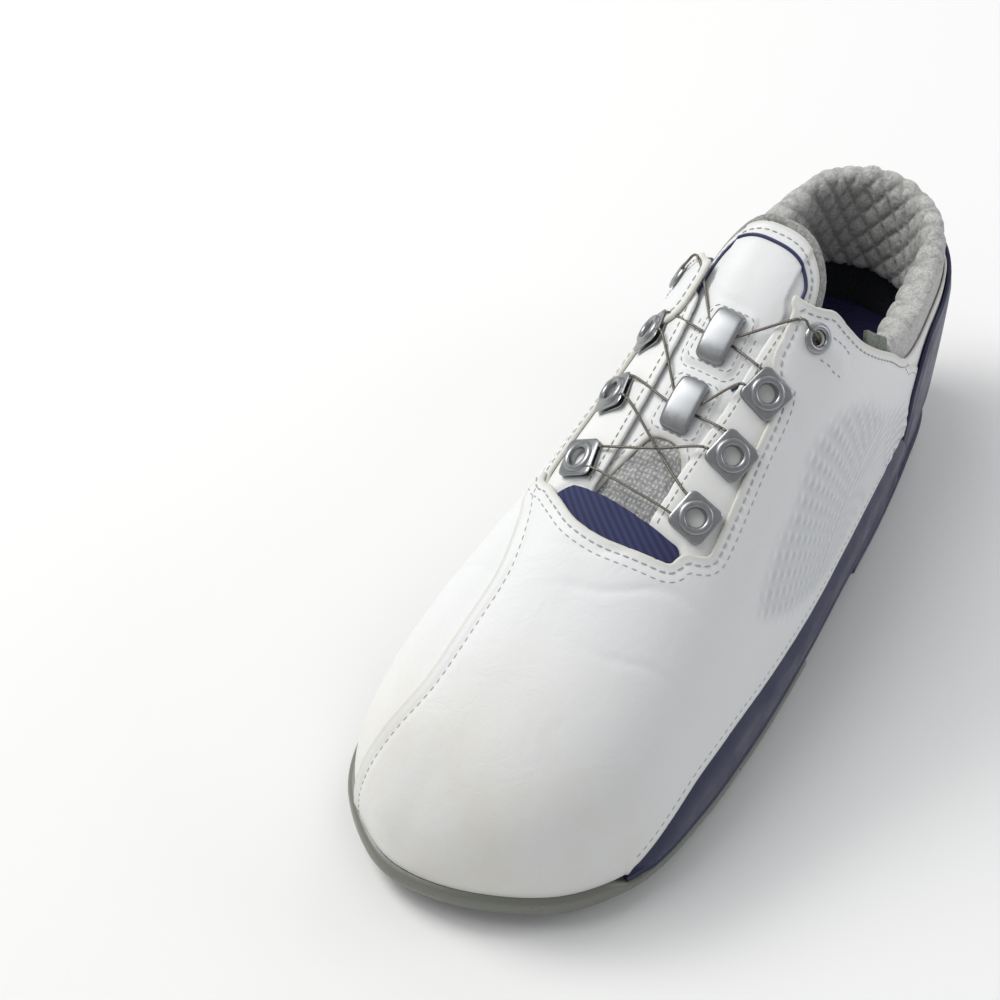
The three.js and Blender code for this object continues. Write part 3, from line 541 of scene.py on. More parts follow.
# Rings round a point low on the waist, 4.2 mm apart, which break into dots towards the topline
ring_centre = np.array([52.0, 22.0])
ring_pitch, emboss_height = 4.2, 0.75
ring_y, ring_z = P[..., 1] - ring_centre[0], (P[..., 2] - ring_centre[1]) * 1.15
ring_radius, ring_angle = np.hypot(ring_y, ring_z), np.arctan2(ring_z, -ring_y)
rings = 0.5 + 0.5 * np.cos(2 * np.pi * ring_radius / ring_pitch)
beads = 0.5 + 0.5 * np.cos(ring_angle * 96)
emboss_area = [(0, 106), (20, 108), (40, 98), (58, 80), (78, 66), (90, 50), (88, 36), (60, 40),
               (30, 44), (5, 42), (-22, 50), (-40, 62), (-42, 72), (-30, 84), (-15, 94)]
in_emboss = soft_step(side_distance(emboss_area, True), 0, 9)
dotted = np.maximum(soft_step(ring_radius, 62, 70), soft_step(-P[..., 1], 8, 24))
emboss = in_emboss * rings * (1 - dotted + dotted * beads)

last_tree = KDTree(P.shape[0] * P.shape[1])
for index, point in enumerate(P.reshape(-1, 3)):
    last_tree.insert(Vector(point), index)
last_tree.balance()


def near_last(points):
    """For drawing points: the nearest grid places as rows and columns, and the heights over the last."""
    found = np.array([last_tree.find(Vector(point))[1] for point in points])
    rows_found, columns_found = np.unravel_index(found, T.shape)
    base, out = P[rows_found, columns_found], N[rows_found, columns_found]
    return rows_found, columns_found, ((points - base) * out).sum(1)


def about_plan(x, y):
    """The last's t and v above a place in plan, and its own axes there: across, forwards, out."""
    top = np.abs(V) < 0.93
    near = np.argmin(np.where(top, (P[..., 0] - x) ** 2 + (P[..., 1] - y) ** 2, 1e9))
    i, j = np.unravel_index(near, T.shape)
    t, v, step = T[i, j], V[i, j], 1e-4
    for _ in range(8):
        here = last_point(t, v)
        by_t = (last_point(t + step, v) - here) / step
        by_v = (last_point(t, v + step) - here) / step
        miss = np.array([x - here[0], y - here[1]])
        change = np.linalg.solve(np.array([by_t[:2], by_v[:2]]).T, miss)
        t, v = t + change[0], v + change[1]
    return t, v


def seat_on_last(x, y, height):
    """A place on the last above a plan point, and the axes of a part that is seated there."""
    t, v = about_plan(x, y)
    out = last_normal(t, v)
    across = np.cross([0, 1, 0], out)
    across /= np.linalg.norm(across)
    return skin(t, v, height), np.array([across, np.cross(out, across), out])


# A raised channel runs back and down from each top eyelet, over the tube that carries the lace
top_eyelets = [(-22.5, 26.0), (29.5, 19.0)]
channel = np.zeros_like(T)
channel_length = 19.0
channel_ways = []
for (x, y), sign in zip(top_eyelets, (-1, 1)):
    start, axes = seat_on_last(x, y, 0.0)
    way = sign * 0.93 * axes[0] + 0.36 * np.array([0.0, 1.0, 0.0])
    way /= np.linalg.norm(way)
    guess = start + way * np.linspace(0, channel_length, 10)[:, None]
    i, j, _ = near_last(guess)
    spine = P[i, j]
    close = np.abs(P - start).max(-1) < channel_length + 12
    spans = np.linalg.norm(P[close][:, None] - spine[None], axis=-1)
    fade = 1 - soft_step(spans.argmin(1), 6, 9)
    channel[close] = np.maximum(channel[close], np.exp(-(spans.min(1) / 3.4) ** 2) * fade)
    channel_ways.append((start, way, np.cross(axes[2], way)))

# Wear: shallow flex creases across the vamp
creases = np.zeros_like(T)
crease_lines = [(-58, 12, 0.35, 16, 0.35), (-66, 20, 0.45, 18, 0.4), (-74, -34, -0.5, 12, 0.35),
                (-82, 30, 0.3, 15, 0.25), (-49, -38, -0.7, 10, 0.3)]
for y0, x0, lean, width, depth in crease_lines:
    across = P[..., 0] - x0
    line = P[..., 1] - y0 - lean * across - 1.2 * np.sin(across / 5.0)
    creases -= depth * np.exp(-(line / 1.5) ** 2) * np.exp(-(across / width) ** 2)

# Each top eyelet is set through a hole, a little wider than its barrel
eyelet_hole = 2.9
for x, y in top_eyelets:
    centre = P.reshape(-1, 3)[np.argmin(((P[..., :2] - (x, y)) ** 2).sum(-1) + 900 * (np.abs(V) > 0.9))]
    beyond_hole = np.linalg.norm(P - centre, axis=-1) - eyelet_hole
    lateral_inside = np.minimum(lateral_inside, beyond_hole)
    medial_inside = np.minimum(medial_inside, beyond_hole)

leather_thickness = 1.5
foxing_lift = 0.75 * np.exp(-np.clip(above_foxing, 0, None) / 5.0) * (P[..., 1] > -112) * (P[..., 1] < 86)
relief = emboss_height * emboss + 0.9 * channel + creases * (T > 0.5) + foxing_lift
edge_dip = 0.25 * np.exp(-((opening - 2.2) / 1.0) ** 2)
seam_step = 1.25 * np.exp(-np.clip(outer_of_seam, 0, None) / 7.0) * fore
seam_groove = 0.3 * np.exp(-((outer_of_seam - 3.6) / 1.0) ** 2) * fore
pattern_fields = {"embossed": in_emboss, "dotted": dotted}
lateral_height = 0.1 + seam_step - seam_groove + relief - edge_dip
medial_height = np.where(outer_of_seam > 0, -0.5, 0.0) + relief - edge_dip
lateral_upper = cut_sheet("lateral_upper_leather", lateral_inside, lateral_height, leather_thickness,
                          pattern_fields)
medial_upper = cut_sheet("medial_upper_leather", medial_inside, medial_height, leather_thickness,
                         pattern_fields)
heel_inside = np.minimum(below_topline, 6 - ahead_of_rear)
heel_leather = cut_sheet("heel_leather_panel", heel_inside, -0.45, 1.0)

# The coat is a satin white with a fine pebble grain, yellowed and scuffed a little at the toe
leather, leather_tree, leather_shader = new_material(
    "White coated calf leather", Roughness=0.5, Coat_Weight=0.08, Coat_Roughness=0.35)


def place_pattern(tree, kind, scale, settings=None, **inputs):
    """A pattern node on Object coordinates, with its scale in repeats per metre."""
    coordinates = tree.nodes.get("Texture Coordinate") or add_node(tree, "ShaderNodeTexCoord")
    values = {"Vector": coordinates.outputs["Object"], "Scale": scale}
    values.update({key.replace("_", " "): value for key, value in inputs.items()})
    return add_node(tree, kind, settings, values)


grain = place_pattern(leather_tree, "ShaderNodeTexVoronoi", 1 / (0.9 * MM), {"feature": "SMOOTH_F1"})
pores = place_pattern(leather_tree, "ShaderNodeTexNoise", 1 / (0.35 * MM), Detail=4.0)
wrinkles = place_pattern(leather_tree, "ShaderNodeTexNoise", 1 / (14 * MM), Detail=6.0, Roughness=0.62,
                         Distortion=1.4)
grain_and_pores = add_node(leather_tree, "ShaderNodeMath", {"operation": "MULTIPLY_ADD"},
                           {0: pores.outputs["Fac"], 1: 0.5, 2: grain.outputs["Distance"]})
grain_bump = add_bump(leather_tree, 0.22, 0.12, grain_and_pores.outputs[0])
wrinkle_bump = add_bump(leather_tree, 0.3, 0.8, wrinkles.outputs["Fac"], grain_bump)


def leather_math(operation, first, second=0.0):
    """One sum in the leather's node tree."""
    made = add_node(leather_tree, "ShaderNodeMath", {"operation": operation}, {0: first, 1: second})
    return made.outputs[0]


# The embossing's crisp edges: the same rings and dots as the relief, in metres from the ring centre
place_axes = add_node(leather_tree, "ShaderNodeSeparateXYZ", None,
                      {"Vector": leather_tree.nodes["Texture Coordinate"].outputs["Object"]})
centre_y, centre_z = ring_centre[0] * MM + drawing_zero[1], ring_centre[1] * MM
from_y = leather_math("SUBTRACT", place_axes.outputs["Y"], float(centre_y))
from_z = leather_math("MULTIPLY", leather_math("SUBTRACT", place_axes.outputs["Z"], float(centre_z)), 1.15)
ring_distance = leather_math("SQRT", leather_math("ADD", leather_math("MULTIPLY", from_y, from_y),
                                                  leather_math("MULTIPLY", from_z, from_z)))
ring_wave = leather_math("COSINE", leather_math("MULTIPLY", ring_distance, 2 * math.pi / (ring_pitch * MM)))
way_round = leather_math("ARCTAN2", from_z, leather_math("MULTIPLY", from_y, -1.0))
bead_wave = leather_math("COSINE", leather_math("MULTIPLY", way_round, 96.0))
emboss_share = add_node(leather_tree, "ShaderNodeAttribute", {"attribute_name": "embossed"}).outputs["Fac"]
dot_share = add_node(leather_tree, "ShaderNodeAttribute", {"attribute_name": "dotted"}).outputs["Fac"]
ring_height = leather_math("MULTIPLY_ADD", ring_wave, 0.5)
bead_height = leather_math("MULTIPLY_ADD", bead_wave, 0.5)
for node_output in (ring_height, bead_height):
    node_output.node.inputs[2].default_value = 0.5
bead_part = leather_math("MULTIPLY", leather_math("SUBTRACT", bead_height, 1.0), dot_share)
beaded_rings = leather_math("MULTIPLY", ring_height, leather_math("ADD", bead_part, 1.0))
pattern_height = leather_math("MULTIPLY", beaded_rings, emboss_share)
emboss_bump = add_bump(leather_tree, 0.8, 0.7, pattern_height, wrinkle_bump)
leather_tree.links.new(emboss_bump, leather_shader.inputs["Normal"])
toe_yellow = add_node(leather_tree, "ShaderNodeMapRange", {"clamp": True}, {
    "Value": place_axes.outputs["Y"], "From Min": -0.085, "From Max": -0.145, "To Min": 0.0, "To Max": 0.75})
scuffs = place_pattern(leather_tree, "ShaderNodeTexNoise", 1 / (30 * MM), Detail=8.0, Roughness=0.7)
scuff_share = add_node(leather_tree, "ShaderNodeMapRange", {"clamp": True}, {
    "Value": scuffs.outputs["Fac"], "From Min": 0.42, "From Max": 0.75, "To Min": 0.25, "To Max": 1.0})
yellow_share = add_node(leather_tree, "ShaderNodeMath", {"operation": "MULTIPLY"},
                        {0: toe_yellow.outputs[0], 1: scuff_share.outputs[0]})
coat_colour = mix_colours(leather_tree, yellow_share.outputs[0], linear("#E4E5E6"), linear("#DCD7C6"))
edge_attribute = add_node(leather_tree, "ShaderNodeAttribute", {"attribute_name": "edge_mm"})
edge_wear = add_node(leather_tree, "ShaderNodeMapRange", {"clamp": True}, {
    "Value": edge_attribute.outputs["Fac"], "From Min": 0.0, "From Max": 1.2,
    "To Min": 0.75, "To Max": 0.0})
edge_colour = mix_colours(leather_tree, edge_wear.outputs[0], coat_colour, linear("#CFCDC2"))
# Painted shade: the coat is darkened towards a bluish grey in the low grooves of the embossed rings and
# dots.
painted_groove_shade = leather_math("MULTIPLY", leather_math("SUBTRACT", emboss_share, pattern_height), 0.4)
colour_with_painted_shade = mix_colours(leather_tree, painted_groove_shade, edge_colour, linear("#AEB2B8"))
leather_tree.links.new(colour_with_painted_shade, leather_shader.inputs["Base Color"])


def dress(piece, finish, body, node_name, slot_name):
    """Gives a piece its material and its body, and hides the node that it stands for; slot_name is not used.
    """
    piece.data.materials.append(finish)
    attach(piece, body)
    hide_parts(node_name)


for piece, node_name in ((lateral_upper, "lateral_upper"), (medial_upper, "medial_upper"),
                         (heel_leather, "heel_leather")):
    dress(piece, leather, "root", node_name, "white_leather")


# Thread: each stitch is a short fat lozenge pulled into the leather, one every 3 mm
thread, thread_tree, thread_shader = new_material("Grey polyester thread", Roughness=0.85)
ply = place_pattern(thread_tree, "ShaderNodeTexNoise", 1 / (0.4 * MM), Detail=2.0)
thread_colour = mix_colours(thread_tree, ply.outputs["Fac"], linear("#8F8F8A"), linear("#C4C4BE"))
thread_tree.links.new(thread_colour, thread_shader.inputs["Base Color"])


def iso_line(field, level, keep, height):
    """The line where a grid field has a value, at a height over the last: points and edges."""
    places, edges = crossings(field - level)
    kept = at_places(keep.astype(float), places) > 0.5
    lift = at_places(np.broadcast_to(np.asarray(height, float), T.shape), places)
    return skin(*t_and_v(places), lift), [(a, b) for a, b in edges if kept[a] and kept[b]]


def stitch_tree(material):
    """Stitches along every line of a mesh: pitch, length and thickness in metres are inputs."""
    tree = bpy.data.node_groups.new("Row of stitches", "GeometryNodeTree")
    tree.interface.new_socket("Geometry", in_out="INPUT", socket_type="NodeSocketGeometry")
    for socket_name in ("Pitch", "Stitch length", "Thickness"):
        tree.interface.new_socket(socket_name, in_out="INPUT", socket_type="NodeSocketFloat")
    tree.interface.new_socket("Geometry", in_out="OUTPUT", socket_type="NodeSocketGeometry")
    given = add_node(tree, "NodeGroupInput")
    line = add_node(tree, "GeometryNodeMeshToCurve", None, {"Mesh": given.outputs["Geometry"]})
    spaced = add_node(tree, "GeometryNodeResampleCurve", {"mode": "LENGTH"},
                      {"Curve": line.outputs["Curve"], "Length": given.outputs["Pitch"]})
    tangent = add_node(tree, "GeometryNodeInputTangent")
    turned = add_node(tree, "FunctionNodeAlignRotationToVector", {"axis": "X"},
                      {"Vector": tangent.outputs["Tangent"]})
    half_length = add_node(tree, "ShaderNodeMath", {"operation": "MULTIPLY"},
                           {0: given.outputs["Stitch length"], 1: 0.5})
    half_thickness = add_node(tree, "ShaderNodeMath", {"operation": "MULTIPLY"},
                              {0: given.outputs["Thickness"], 1: 0.5})
    lozenge_size = add_node(tree, "ShaderNodeCombineXYZ", None, {
        "X": half_length.outputs[0], "Y": half_thickness.outputs[0], "Z": half_thickness.outputs[0]})
    lozenge = add_node(tree, "GeometryNodeMeshUVSphere", None, {"Segments": 6, "Rings": 5, "Radius": 1.0})
    on_side = add_node(tree, "GeometryNodeTransform", None, {
        "Geometry": lozenge.outputs["Mesh"], "Rotation": (0, math.pi / 2, 0)})
    placed = add_node(tree, "GeometryNodeInstanceOnPoints", None, {
        "Points": spaced.outputs["Curve"], "Instance": on_side.outputs["Geometry"],
        "Rotation": turned.outputs["Rotation"], "Scale": lozenge_size.outputs["Vector"]})
    real = add_node(tree, "GeometryNodeRealizeInstances", None, {"Geometry": placed.outputs["Instances"]})
    dressed = add_node(tree, "GeometryNodeSetMaterial", None,
                       {"Geometry": real.outputs["Geometry"], "Material": material})
    add_node(tree, "NodeGroupOutput", None, {"Geometry": dressed.outputs["Geometry"]})
    return tree


stitching = stitch_tree(thread)


def made_by_nodes(name, mesh, tree, **inputs):
    """A plain mesh object from a mesh run through a geometry nodes tree."""
    source = link_object(name + "_line", mesh)
    modifier = source.modifiers.new("nodes", "NODES")
    modifier.node_group = tree
    identifiers = {item.name: item.identifier for item in tree.interface.items_tree
                   if item.item_type == "SOCKET" and item.in_out == "INPUT"}
    for key, value in inputs.items():
        modifier[identifiers[key.replace("_", " ")]] = value
    evaluated = source.evaluated_get(bpy.context.evaluated_depsgraph_get())
    result = bpy.data.meshes.new_from_object(evaluated)
    source.modifiers.remove(modifier)
    bpy.data.objects.remove(source)
    result.name = name
    for polygon in result.polygons:
        polygon.use_smooth = True
    return link_object(name, result)


def sew(name, lines, body, pitch=3.0, length=2.2, thickness=0.62):
    """Rows of stitches along lines that are given as points, in drawing mm, and edges."""
    points, edges = [], []
    for line_points, line_edges in lines:
        edges += [(a + len(points), b + len(points)) for a, b in line_edges]
        points += list(to_model(line_points))
    mesh = bpy.data.meshes.new(name)
    mesh.from_pydata(points, edges, [])
    row = made_by_nodes(name, mesh, stitching, Pitch=pitch * MM, Stitch_length=length * MM,
                        Thickness=thickness * MM)
    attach(row, body)
    return row


def chain(points):
    return points, [(k, k + 1) for k in range(len(points) - 1)]


lateral_top = 0.1 + seam_step - seam_groove + relief
lateral_keep = lateral_inside > 0.5
medial_top = relief
medial_keep = (medial_inside > 0.5) & (outer_of_seam < -1)
by_the_sole = (P[..., 1] > -109) & (P[..., 1] < 85)
clear_of_top = (below_topline > 6) & (P[..., 1] < 4)
clear_of_ends = (opening > 3) & (above_foxing > 2)
sunk = 0.12
edge_row, second_row, sole_row = 2.2, 5.0, 2.8
thread_height = lateral_top - sunk
rows = [
    iso_line(opening, edge_row, lateral_keep, thread_height),
    iso_line(outside_throat, second_row, lateral_keep & clear_of_top, thread_height),
    iso_line(outer_of_seam, 3.6, (opening > 3.5) & fore & (T < 0.992), thread_height),
    iso_line(ahead_of_rear, edge_row, clear_of_ends & (V > 0), thread_height),
    iso_line(above_foxing, sole_row, lateral_keep & by_the_sole, thread_height),
]
sew("lateral_upper_stitches", rows, "root")
thread_height = medial_top - sunk
rows = [
    iso_line(opening, edge_row, medial_keep, thread_height),
    iso_line(outside_throat, second_row, medial_keep & clear_of_top, thread_height),
    iso_line(ahead_of_rear, edge_row, clear_of_ends & (V < 0), thread_height),
    iso_line(above_foxing, sole_row, medial_keep & by_the_sole, thread_height),
]
sew("medial_upper_stitches", rows, "root")
rows = []
for start, way, beside in channel_ways:
    for side in (-4.3, 4.3):
        i, j, _ = near_last(start + way * np.linspace(6.0, 15.0, 9)[:, None] + beside * side)
        rows.append(chain(skin(T[i, j], V[i, j], relief[i, j] + 0.05)))
sew("eyelet_channel_stitches", rows, "root", pitch=2.8, length=2.0)

# --- Eyestays and label -----------------------------------------------------------------------
# Two strips of coated white microfibre lie under the throat edge and carry the lace guides, and a
# plain navy strip closes the foot of the throat. The two microfibre strips are stitched down along their
# edges.

outer_strip = [(15, -53), (26, -57), (38, -50), (38, -20), (36, 12), (30, 15), (21, 15), (19, 8),
               (17.5, -14), (16, -24), (14.5, -40)]
inner_strip = [(-11, -52), (-18, -56), (-31, -50), (-32, -20), (-30, 14), (-20, 16), (-13, 14),
               (-10.5, 6), (-9.5, -16), (-9.5, -34)]
label_strip = [(-17, -47.5), (-12, -47.6), (19, -50.2), (25, -50.6), (27, -55), (22, -60), (4, -62),
               (-14, -60), (-21, -52)]
strip_top, strip_thickness = -1.95, 1.5
outer_strip_inside = plan_distance(outer_strip)
inner_strip_inside = plan_distance(inner_strip)
label_inside = plan_distance(label_strip)
strip_puff = [0.35 * soft_step(field, 0, 2.5) - 1.1 * soft_step(label_inside, -3.0, -0.5)
              for field in (outer_strip_inside, inner_strip_inside)]
lateral_eyestay = cut_sheet("lateral_eyestay_strip", outer_strip_inside, strip_top + strip_puff[0],
                            strip_thickness)
medial_eyestay = cut_sheet("medial_eyestay_strip", inner_strip_inside, strip_top + strip_puff[1],
                           strip_thickness)
throat_label = cut_sheet("throat_label_strip", label_inside, strip_top + 0.05, 1.0)

microfibre, microfibre_tree, microfibre_shader = new_material(
    "White coated microfibre", Base_Color=linear("#E9EAE8"), Roughness=0.55)
fibre_grain = place_pattern(microfibre_tree, "ShaderNodeTexVoronoi", 1 / (0.7 * MM))
fibre_bump = add_bump(microfibre_tree, 0.25, 0.1, fibre_grain.outputs["Distance"])
microfibre_tree.links.new(fibre_bump, microfibre_shader.inputs["Normal"])

woven_navy, woven_tree, woven_shader = new_material("Woven navy polyester tape", Roughness=0.8)
weave = place_pattern(woven_tree, "ShaderNodeTexWave", 1 / (0.9 * MM) / 6.283,
                      {"bands_direction": "DIAGONAL"})
woven_colour = mix_colours(woven_tree, weave.outputs["Fac"], linear("#23274A"), linear("#343A63"))
woven_tree.links.new(woven_colour, woven_shader.inputs["Base Color"])
weave_bump = add_bump(woven_tree, 0.5, 0.15, weave.outputs["Fac"])
woven_tree.links.new(weave_bump, woven_shader.inputs["Normal"])

for piece, node_name, finish, slot_name in (
        (lateral_eyestay, "lateral_eyestay", microfibre, "coated_strip"),
        (medial_eyestay, "medial_eyestay", microfibre, "coated_strip"),
        (throat_label, "throat_label", woven_navy, "navy_textile")):
    dress(piece, finish, "root", node_name, slot_name)
in_throat = outside_throat < -1.0
sew("eyestay_stitches", [
    iso_line(outer_strip_inside, 1.6, in_throat & (P[..., 0] > 0) & (P[..., 1] > -48), strip_top + 0.28),
    iso_line(inner_strip_inside, 1.6, in_throat & (P[..., 0] < 0) & (P[..., 1] > -45), strip_top + 0.28),
], "root", pitch=2.6, length=1.9, thickness=0.55)

# --- Tongue -------------------------------------------------------------------------------------
# White leather on a grey terry pad that shows round its top. A thin navy piping frames the upper
# part, two stitched patches carry the lace guides, and a quilted mesh panel is let in at the foot.

tongue_outline = [(-15.5, 36), (-19.5, 30), (-22, 10), (-21.5, -10), (-21, -30), (-20, -48), (-12, -60),
                  (16, -60), (26, -50), (28, -30), (28.5, -5), (27.5, 18), (26, 29), (22, 35),
                  (12, 38.5), (-5, 38.5)]
mesh_outline = [(-9.5, -50), (4, -51.5), (17.5, -50), (18, -42), (15.5, -35), (12.5, -30), (8, -27),
                (1, -27), (-2.5, -29), (-5.5, -35), (-9, -43)]
tongue_inside = plan_distance(tongue_outline)
mesh_inside = plan_distance(mesh_outline)
tongue_guides = [(4.0, 3.0), (4.5, -17.5)]


def patch_distance(x, y, half_x, half_y):
    """Distance inside a rounded rectangular patch round a point, in mm."""
    dx, dy = np.abs(P[..., 0] - x) - (half_x - 3), np.abs(P[..., 1] - y) - (half_y - 3)
    outside = np.hypot(np.maximum(dx, 0), np.maximum(dy, 0)) + np.minimum(np.maximum(dx, dy), 0)
    return on_surface(3 - outside)


patches = [patch_distance(x, y, 9.2, 9.0) for x, y in tongue_guides]
patch_rise = sum(0.75 * soft_step(field, -0.4, 0.9) for field in patches)
under_throat = outside_throat > -2
crown = 0.9 * soft_step(tongue_inside, 0, 9) + 0.7 * soft_step(P[..., 1], 8, 24)
tongue_top = -5.3 + np.where(under_throat, 0.4 * soft_step(tongue_inside, 0, 9), crown + patch_rise)
tongue_sheet_inside = np.minimum(tongue_inside, -mesh_inside)
tongue_sheet_inside = np.where(np.abs(V) > 0.75, -1.0, tongue_sheet_inside)
tongue_leather = cut_sheet("tongue_leather_panel", tongue_sheet_inside, tongue_top
                           - 0.35 * np.exp(-((tongue_inside - 2.6) / 1.0) ** 2), 1.6)
dress(tongue_leather, leather, "tongue", "tongue_leather", "white_leather")

# The mesh panel: a puffed grey textile with a lattice of raised ridges, 5 mm apart
lattice = np.minimum(np.abs(((P[..., 0] + 0.62 * P[..., 1]) / 5.2) % 1 - 0.5),
                     np.abs(((P[..., 0] - 0.62 * P[..., 1]) / 5.2) % 1 - 0.5))
mesh_relief = 0.55 * np.exp(-(lattice / 0.13) ** 2)
mesh_sheet_inside = np.where(np.abs(V) > 0.75, -1.0, mesh_inside + 0.8)
tongue_mesh = cut_sheet("tongue_mesh_panel", mesh_sheet_inside, -5.9 + mesh_relief
                        + 0.9 * soft_step(mesh_inside, 0, 7), 1.0, {"lattice": lattice})
heather, heather_tree, heather_shader = new_material("Grey woven mesh", Roughness=0.92, Sheen_Weight=0.25)
threads_along = place_pattern(heather_tree, "ShaderNodeTexWave", 1 / (0.75 * MM) / 6.283,
                              {"bands_direction": "X"}, Distortion=3.0, Detail_Scale=4.0)
threads_across = place_pattern(heather_tree, "ShaderNodeTexWave", 1 / (0.75 * MM) / 6.283,
                               {"bands_direction": "Y"}, Distortion=3.0, Detail_Scale=4.0)
mottle = place_pattern(heather_tree, "ShaderNodeTexNoise", 1 / (1.1 * MM), Detail=5.0, Roughness=0.75)
crossing = add_node(heather_tree, "ShaderNodeMath", {"operation": "MULTIPLY"},
                    {0: threads_along.outputs["Fac"], 1: threads_across.outputs["Fac"]})
speckle = add_node(heather_tree, "ShaderNodeMath", {"operation": "MULTIPLY_ADD"},
                   {0: crossing.outputs[0], 1: 0.5, 2: mottle.outputs["Fac"]})
heather_share = add_node(heather_tree, "ShaderNodeMapRange", {"clamp": True}, {
    "Value": speckle.outputs[0], "From Min": 0.35, "From Max": 0.95})
heather_colour = mix_colours(heather_tree, heather_share.outputs[0], linear("#7E7F80"), linear("#C9C9C8"))
heather_tree.links.new(heather_colour, heather_shader.inputs["Base Color"])
heather_bump = add_bump(heather_tree, 0.7, 0.35, speckle.outputs[0])
heather_tree.links.new(heather_bump, heather_shader.inputs["Normal"])
dress(tongue_mesh, heather, "tongue", "tongue_mesh", "grey_textile")


def on_top(x, y, height):
    t, v = about_plan(x, y)
    return skin(t, v, height)


def built(name, shape, sharp_from=None):
    """An object of a finished bmesh, with the edges above an angle in degrees left sharp."""
    bmesh.ops.recalc_face_normals(shape, faces=shape.faces)
    mesh = bpy.data.meshes.new(name)
    shape.to_mesh(mesh)
    shape.free()
    if sharp_from:
        mesh.set_sharp_from_angle(angle=math.radians(sharp_from))
    return link_object(name, mesh)


def tube_mesh(name, points, radius, sides=10, taper=None):
    """A closed round tube along drawing points, with its length as a UV map."""
    points = np.asarray(points, float)
    radii = np.full(len(points), radius) if taper is None else radius * np.asarray(taper)
    along = np.gradient(points, axis=0)
    along /= np.linalg.norm(along, axis=1)[:, None]
    side = np.cross(along[0], [0.3, 0.2, 0.93])
    rings = []
    shape = bmesh.new()
    uv_layer = shape.loops.layers.uv.new("length")
    lengths = np.concatenate([[0], np.cumsum(np.linalg.norm(np.diff(points, axis=0), axis=1))])
    for point, way, reach_out in zip(points, along, radii):
        side = side - way * np.dot(side, way)
        side /= np.linalg.norm(side)
        other = np.cross(way, side)
        angles = np.linspace(0, 2 * np.pi, sides, endpoint=False)
        ring = [point + reach_out * (side * math.cos(a) + other * math.sin(a)) for a in angles]
        rings.append([shape.verts.new(Vector(to_model(p))) for p in ring])
    for k, (near_ring, far_ring) in enumerate(zip(rings, rings[1:])):
        for m in range(sides):
            after = (m + 1) % sides
            face = shape.faces.new([near_ring[m], near_ring[after], far_ring[after], far_ring[m]])
            face.smooth = True
            near_turn, far_turn = m / sides, (m + 1) / sides
            values = [(near_turn, lengths[k]), (far_turn, lengths[k]), (far_turn, lengths[k + 1]),
                      (near_turn, lengths[k + 1])]
            for loop, value in zip(face.loops, values):
                loop[uv_layer].uv = value
    shape.faces.new(list(reversed(rings[0])))
    shape.faces.new(rings[-1])
    return built(name, shape)


piping_route = [(15.5, -8), (19, -2), (21.5, 10), (22, 24), (20.5, 29), (14, 32.5), (2, 33.5), (-9, 33),
                (-13.5, 31), (-15.5, 24), (-14.5, 10), (-12.5, -2), (-10, -8)]
piping_line = smooth_outline(piping_route, closed=False, spacing=0.8)
piping_points = []
for x, y in piping_line:
    t, v = about_plan(x, y)
    i, j = np.interp(t, grid_t, np.arange(len(grid_t))), (v + 1) / 2 * (len(grid_v) - 1)
    piping_points.append(skin(t, v, at_places(tongue_top, np.array([[i, j]]))[0] + 0.12))
tongue_piping = tube_mesh("tongue_piping", piping_points, 0.62)
navy_cord, _, _ = new_material("Navy rubberised piping", Base_Color=linear("#262A55"), Roughness=0.5)
tongue_piping.data.materials.append(navy_cord)
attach(tongue_piping, "tongue")
tongue_keep = (np.abs(V) < 0.75) & (outside_throat < 1.5)
sew("tongue_stitches", [
    iso_line(tongue_inside, 2.6, (np.abs(V) < 0.75) & (P[..., 1] > 4), tongue_top - 0.2),
    iso_line(patches[0], 1.3, tongue_keep, tongue_top - 0.05),
    iso_line(patches[0], -1.6, tongue_keep & (P[..., 1] < 6), tongue_top - 0.05),
    iso_line(patches[1], 1.3, tongue_keep, tongue_top - 0.05),
    iso_line(mesh_inside, -1.8, tongue_keep & (patches[1] < -0.5), tongue_top - 0.05),
], "tongue", pitch=2.6, length=1.9, thickness=0.55)

# --- Lace guides, eyelets and tongue guides ------------------------------------------------------
# Satin nickel-plated zinc. A guide is two square plates on a hollow post with a raised ring round
# its mouth, and the lace runs between the plates. The tongue guides are low bridges.


def circle_ring(radius, height):
    return lambda angle: (radius * math.cos(angle), radius * math.sin(angle), height)


def plate_ring(inset, height, half=6.5, corner=2.2):
    """A ring of a plate's outline: a square with round corners, or a longer one with half a pair."""
    half_x, half_y = (half, half) if np.isscalar(half) else half

    def place(angle):
        way = np.array([math.cos(angle), math.sin(angle)])
        low, high = 0.0, 30.0
        for _ in range(28):
            mid = (low + high) / 2
            q = np.abs(way * mid) - np.array([half_x - inset, half_y - inset]) + corner
            outside = math.hypot(max(q[0], 0), max(q[1], 0)) + min(max(q[0], q[1]), 0) - corner
            low, high = (mid, high) if outside < 0 else (low, mid)
        return way[0] * low, way[1] * low, height
    return place


def ring_solid(name, rings, place, axes, around=64, closed=True):
    """A closed solid from rings about an axis: looped round on itself, or ended by flat faces."""
    shape = bmesh.new()
    angles = [2 * math.pi * k / around for k in range(around)]
    rows = [[shape.verts.new(Vector(to_model(place + np.array(ring(a)) @ axes))) for a in angles]
            for ring in rings]
    pairs = list(zip(rows, rows[1:] + rows[:1] if closed else rows[1:]))
    for one, other in pairs:
        for k in range(around):
            after = (k + 1) % around
            face = shape.faces.new([one[k], one[after], other[after], other[k]])
            face.smooth = True
    if not closed:
        shape.faces.new(rows[0])
        shape.faces.new(rows[-1])
    return built(name, shape, sharp_from=38)


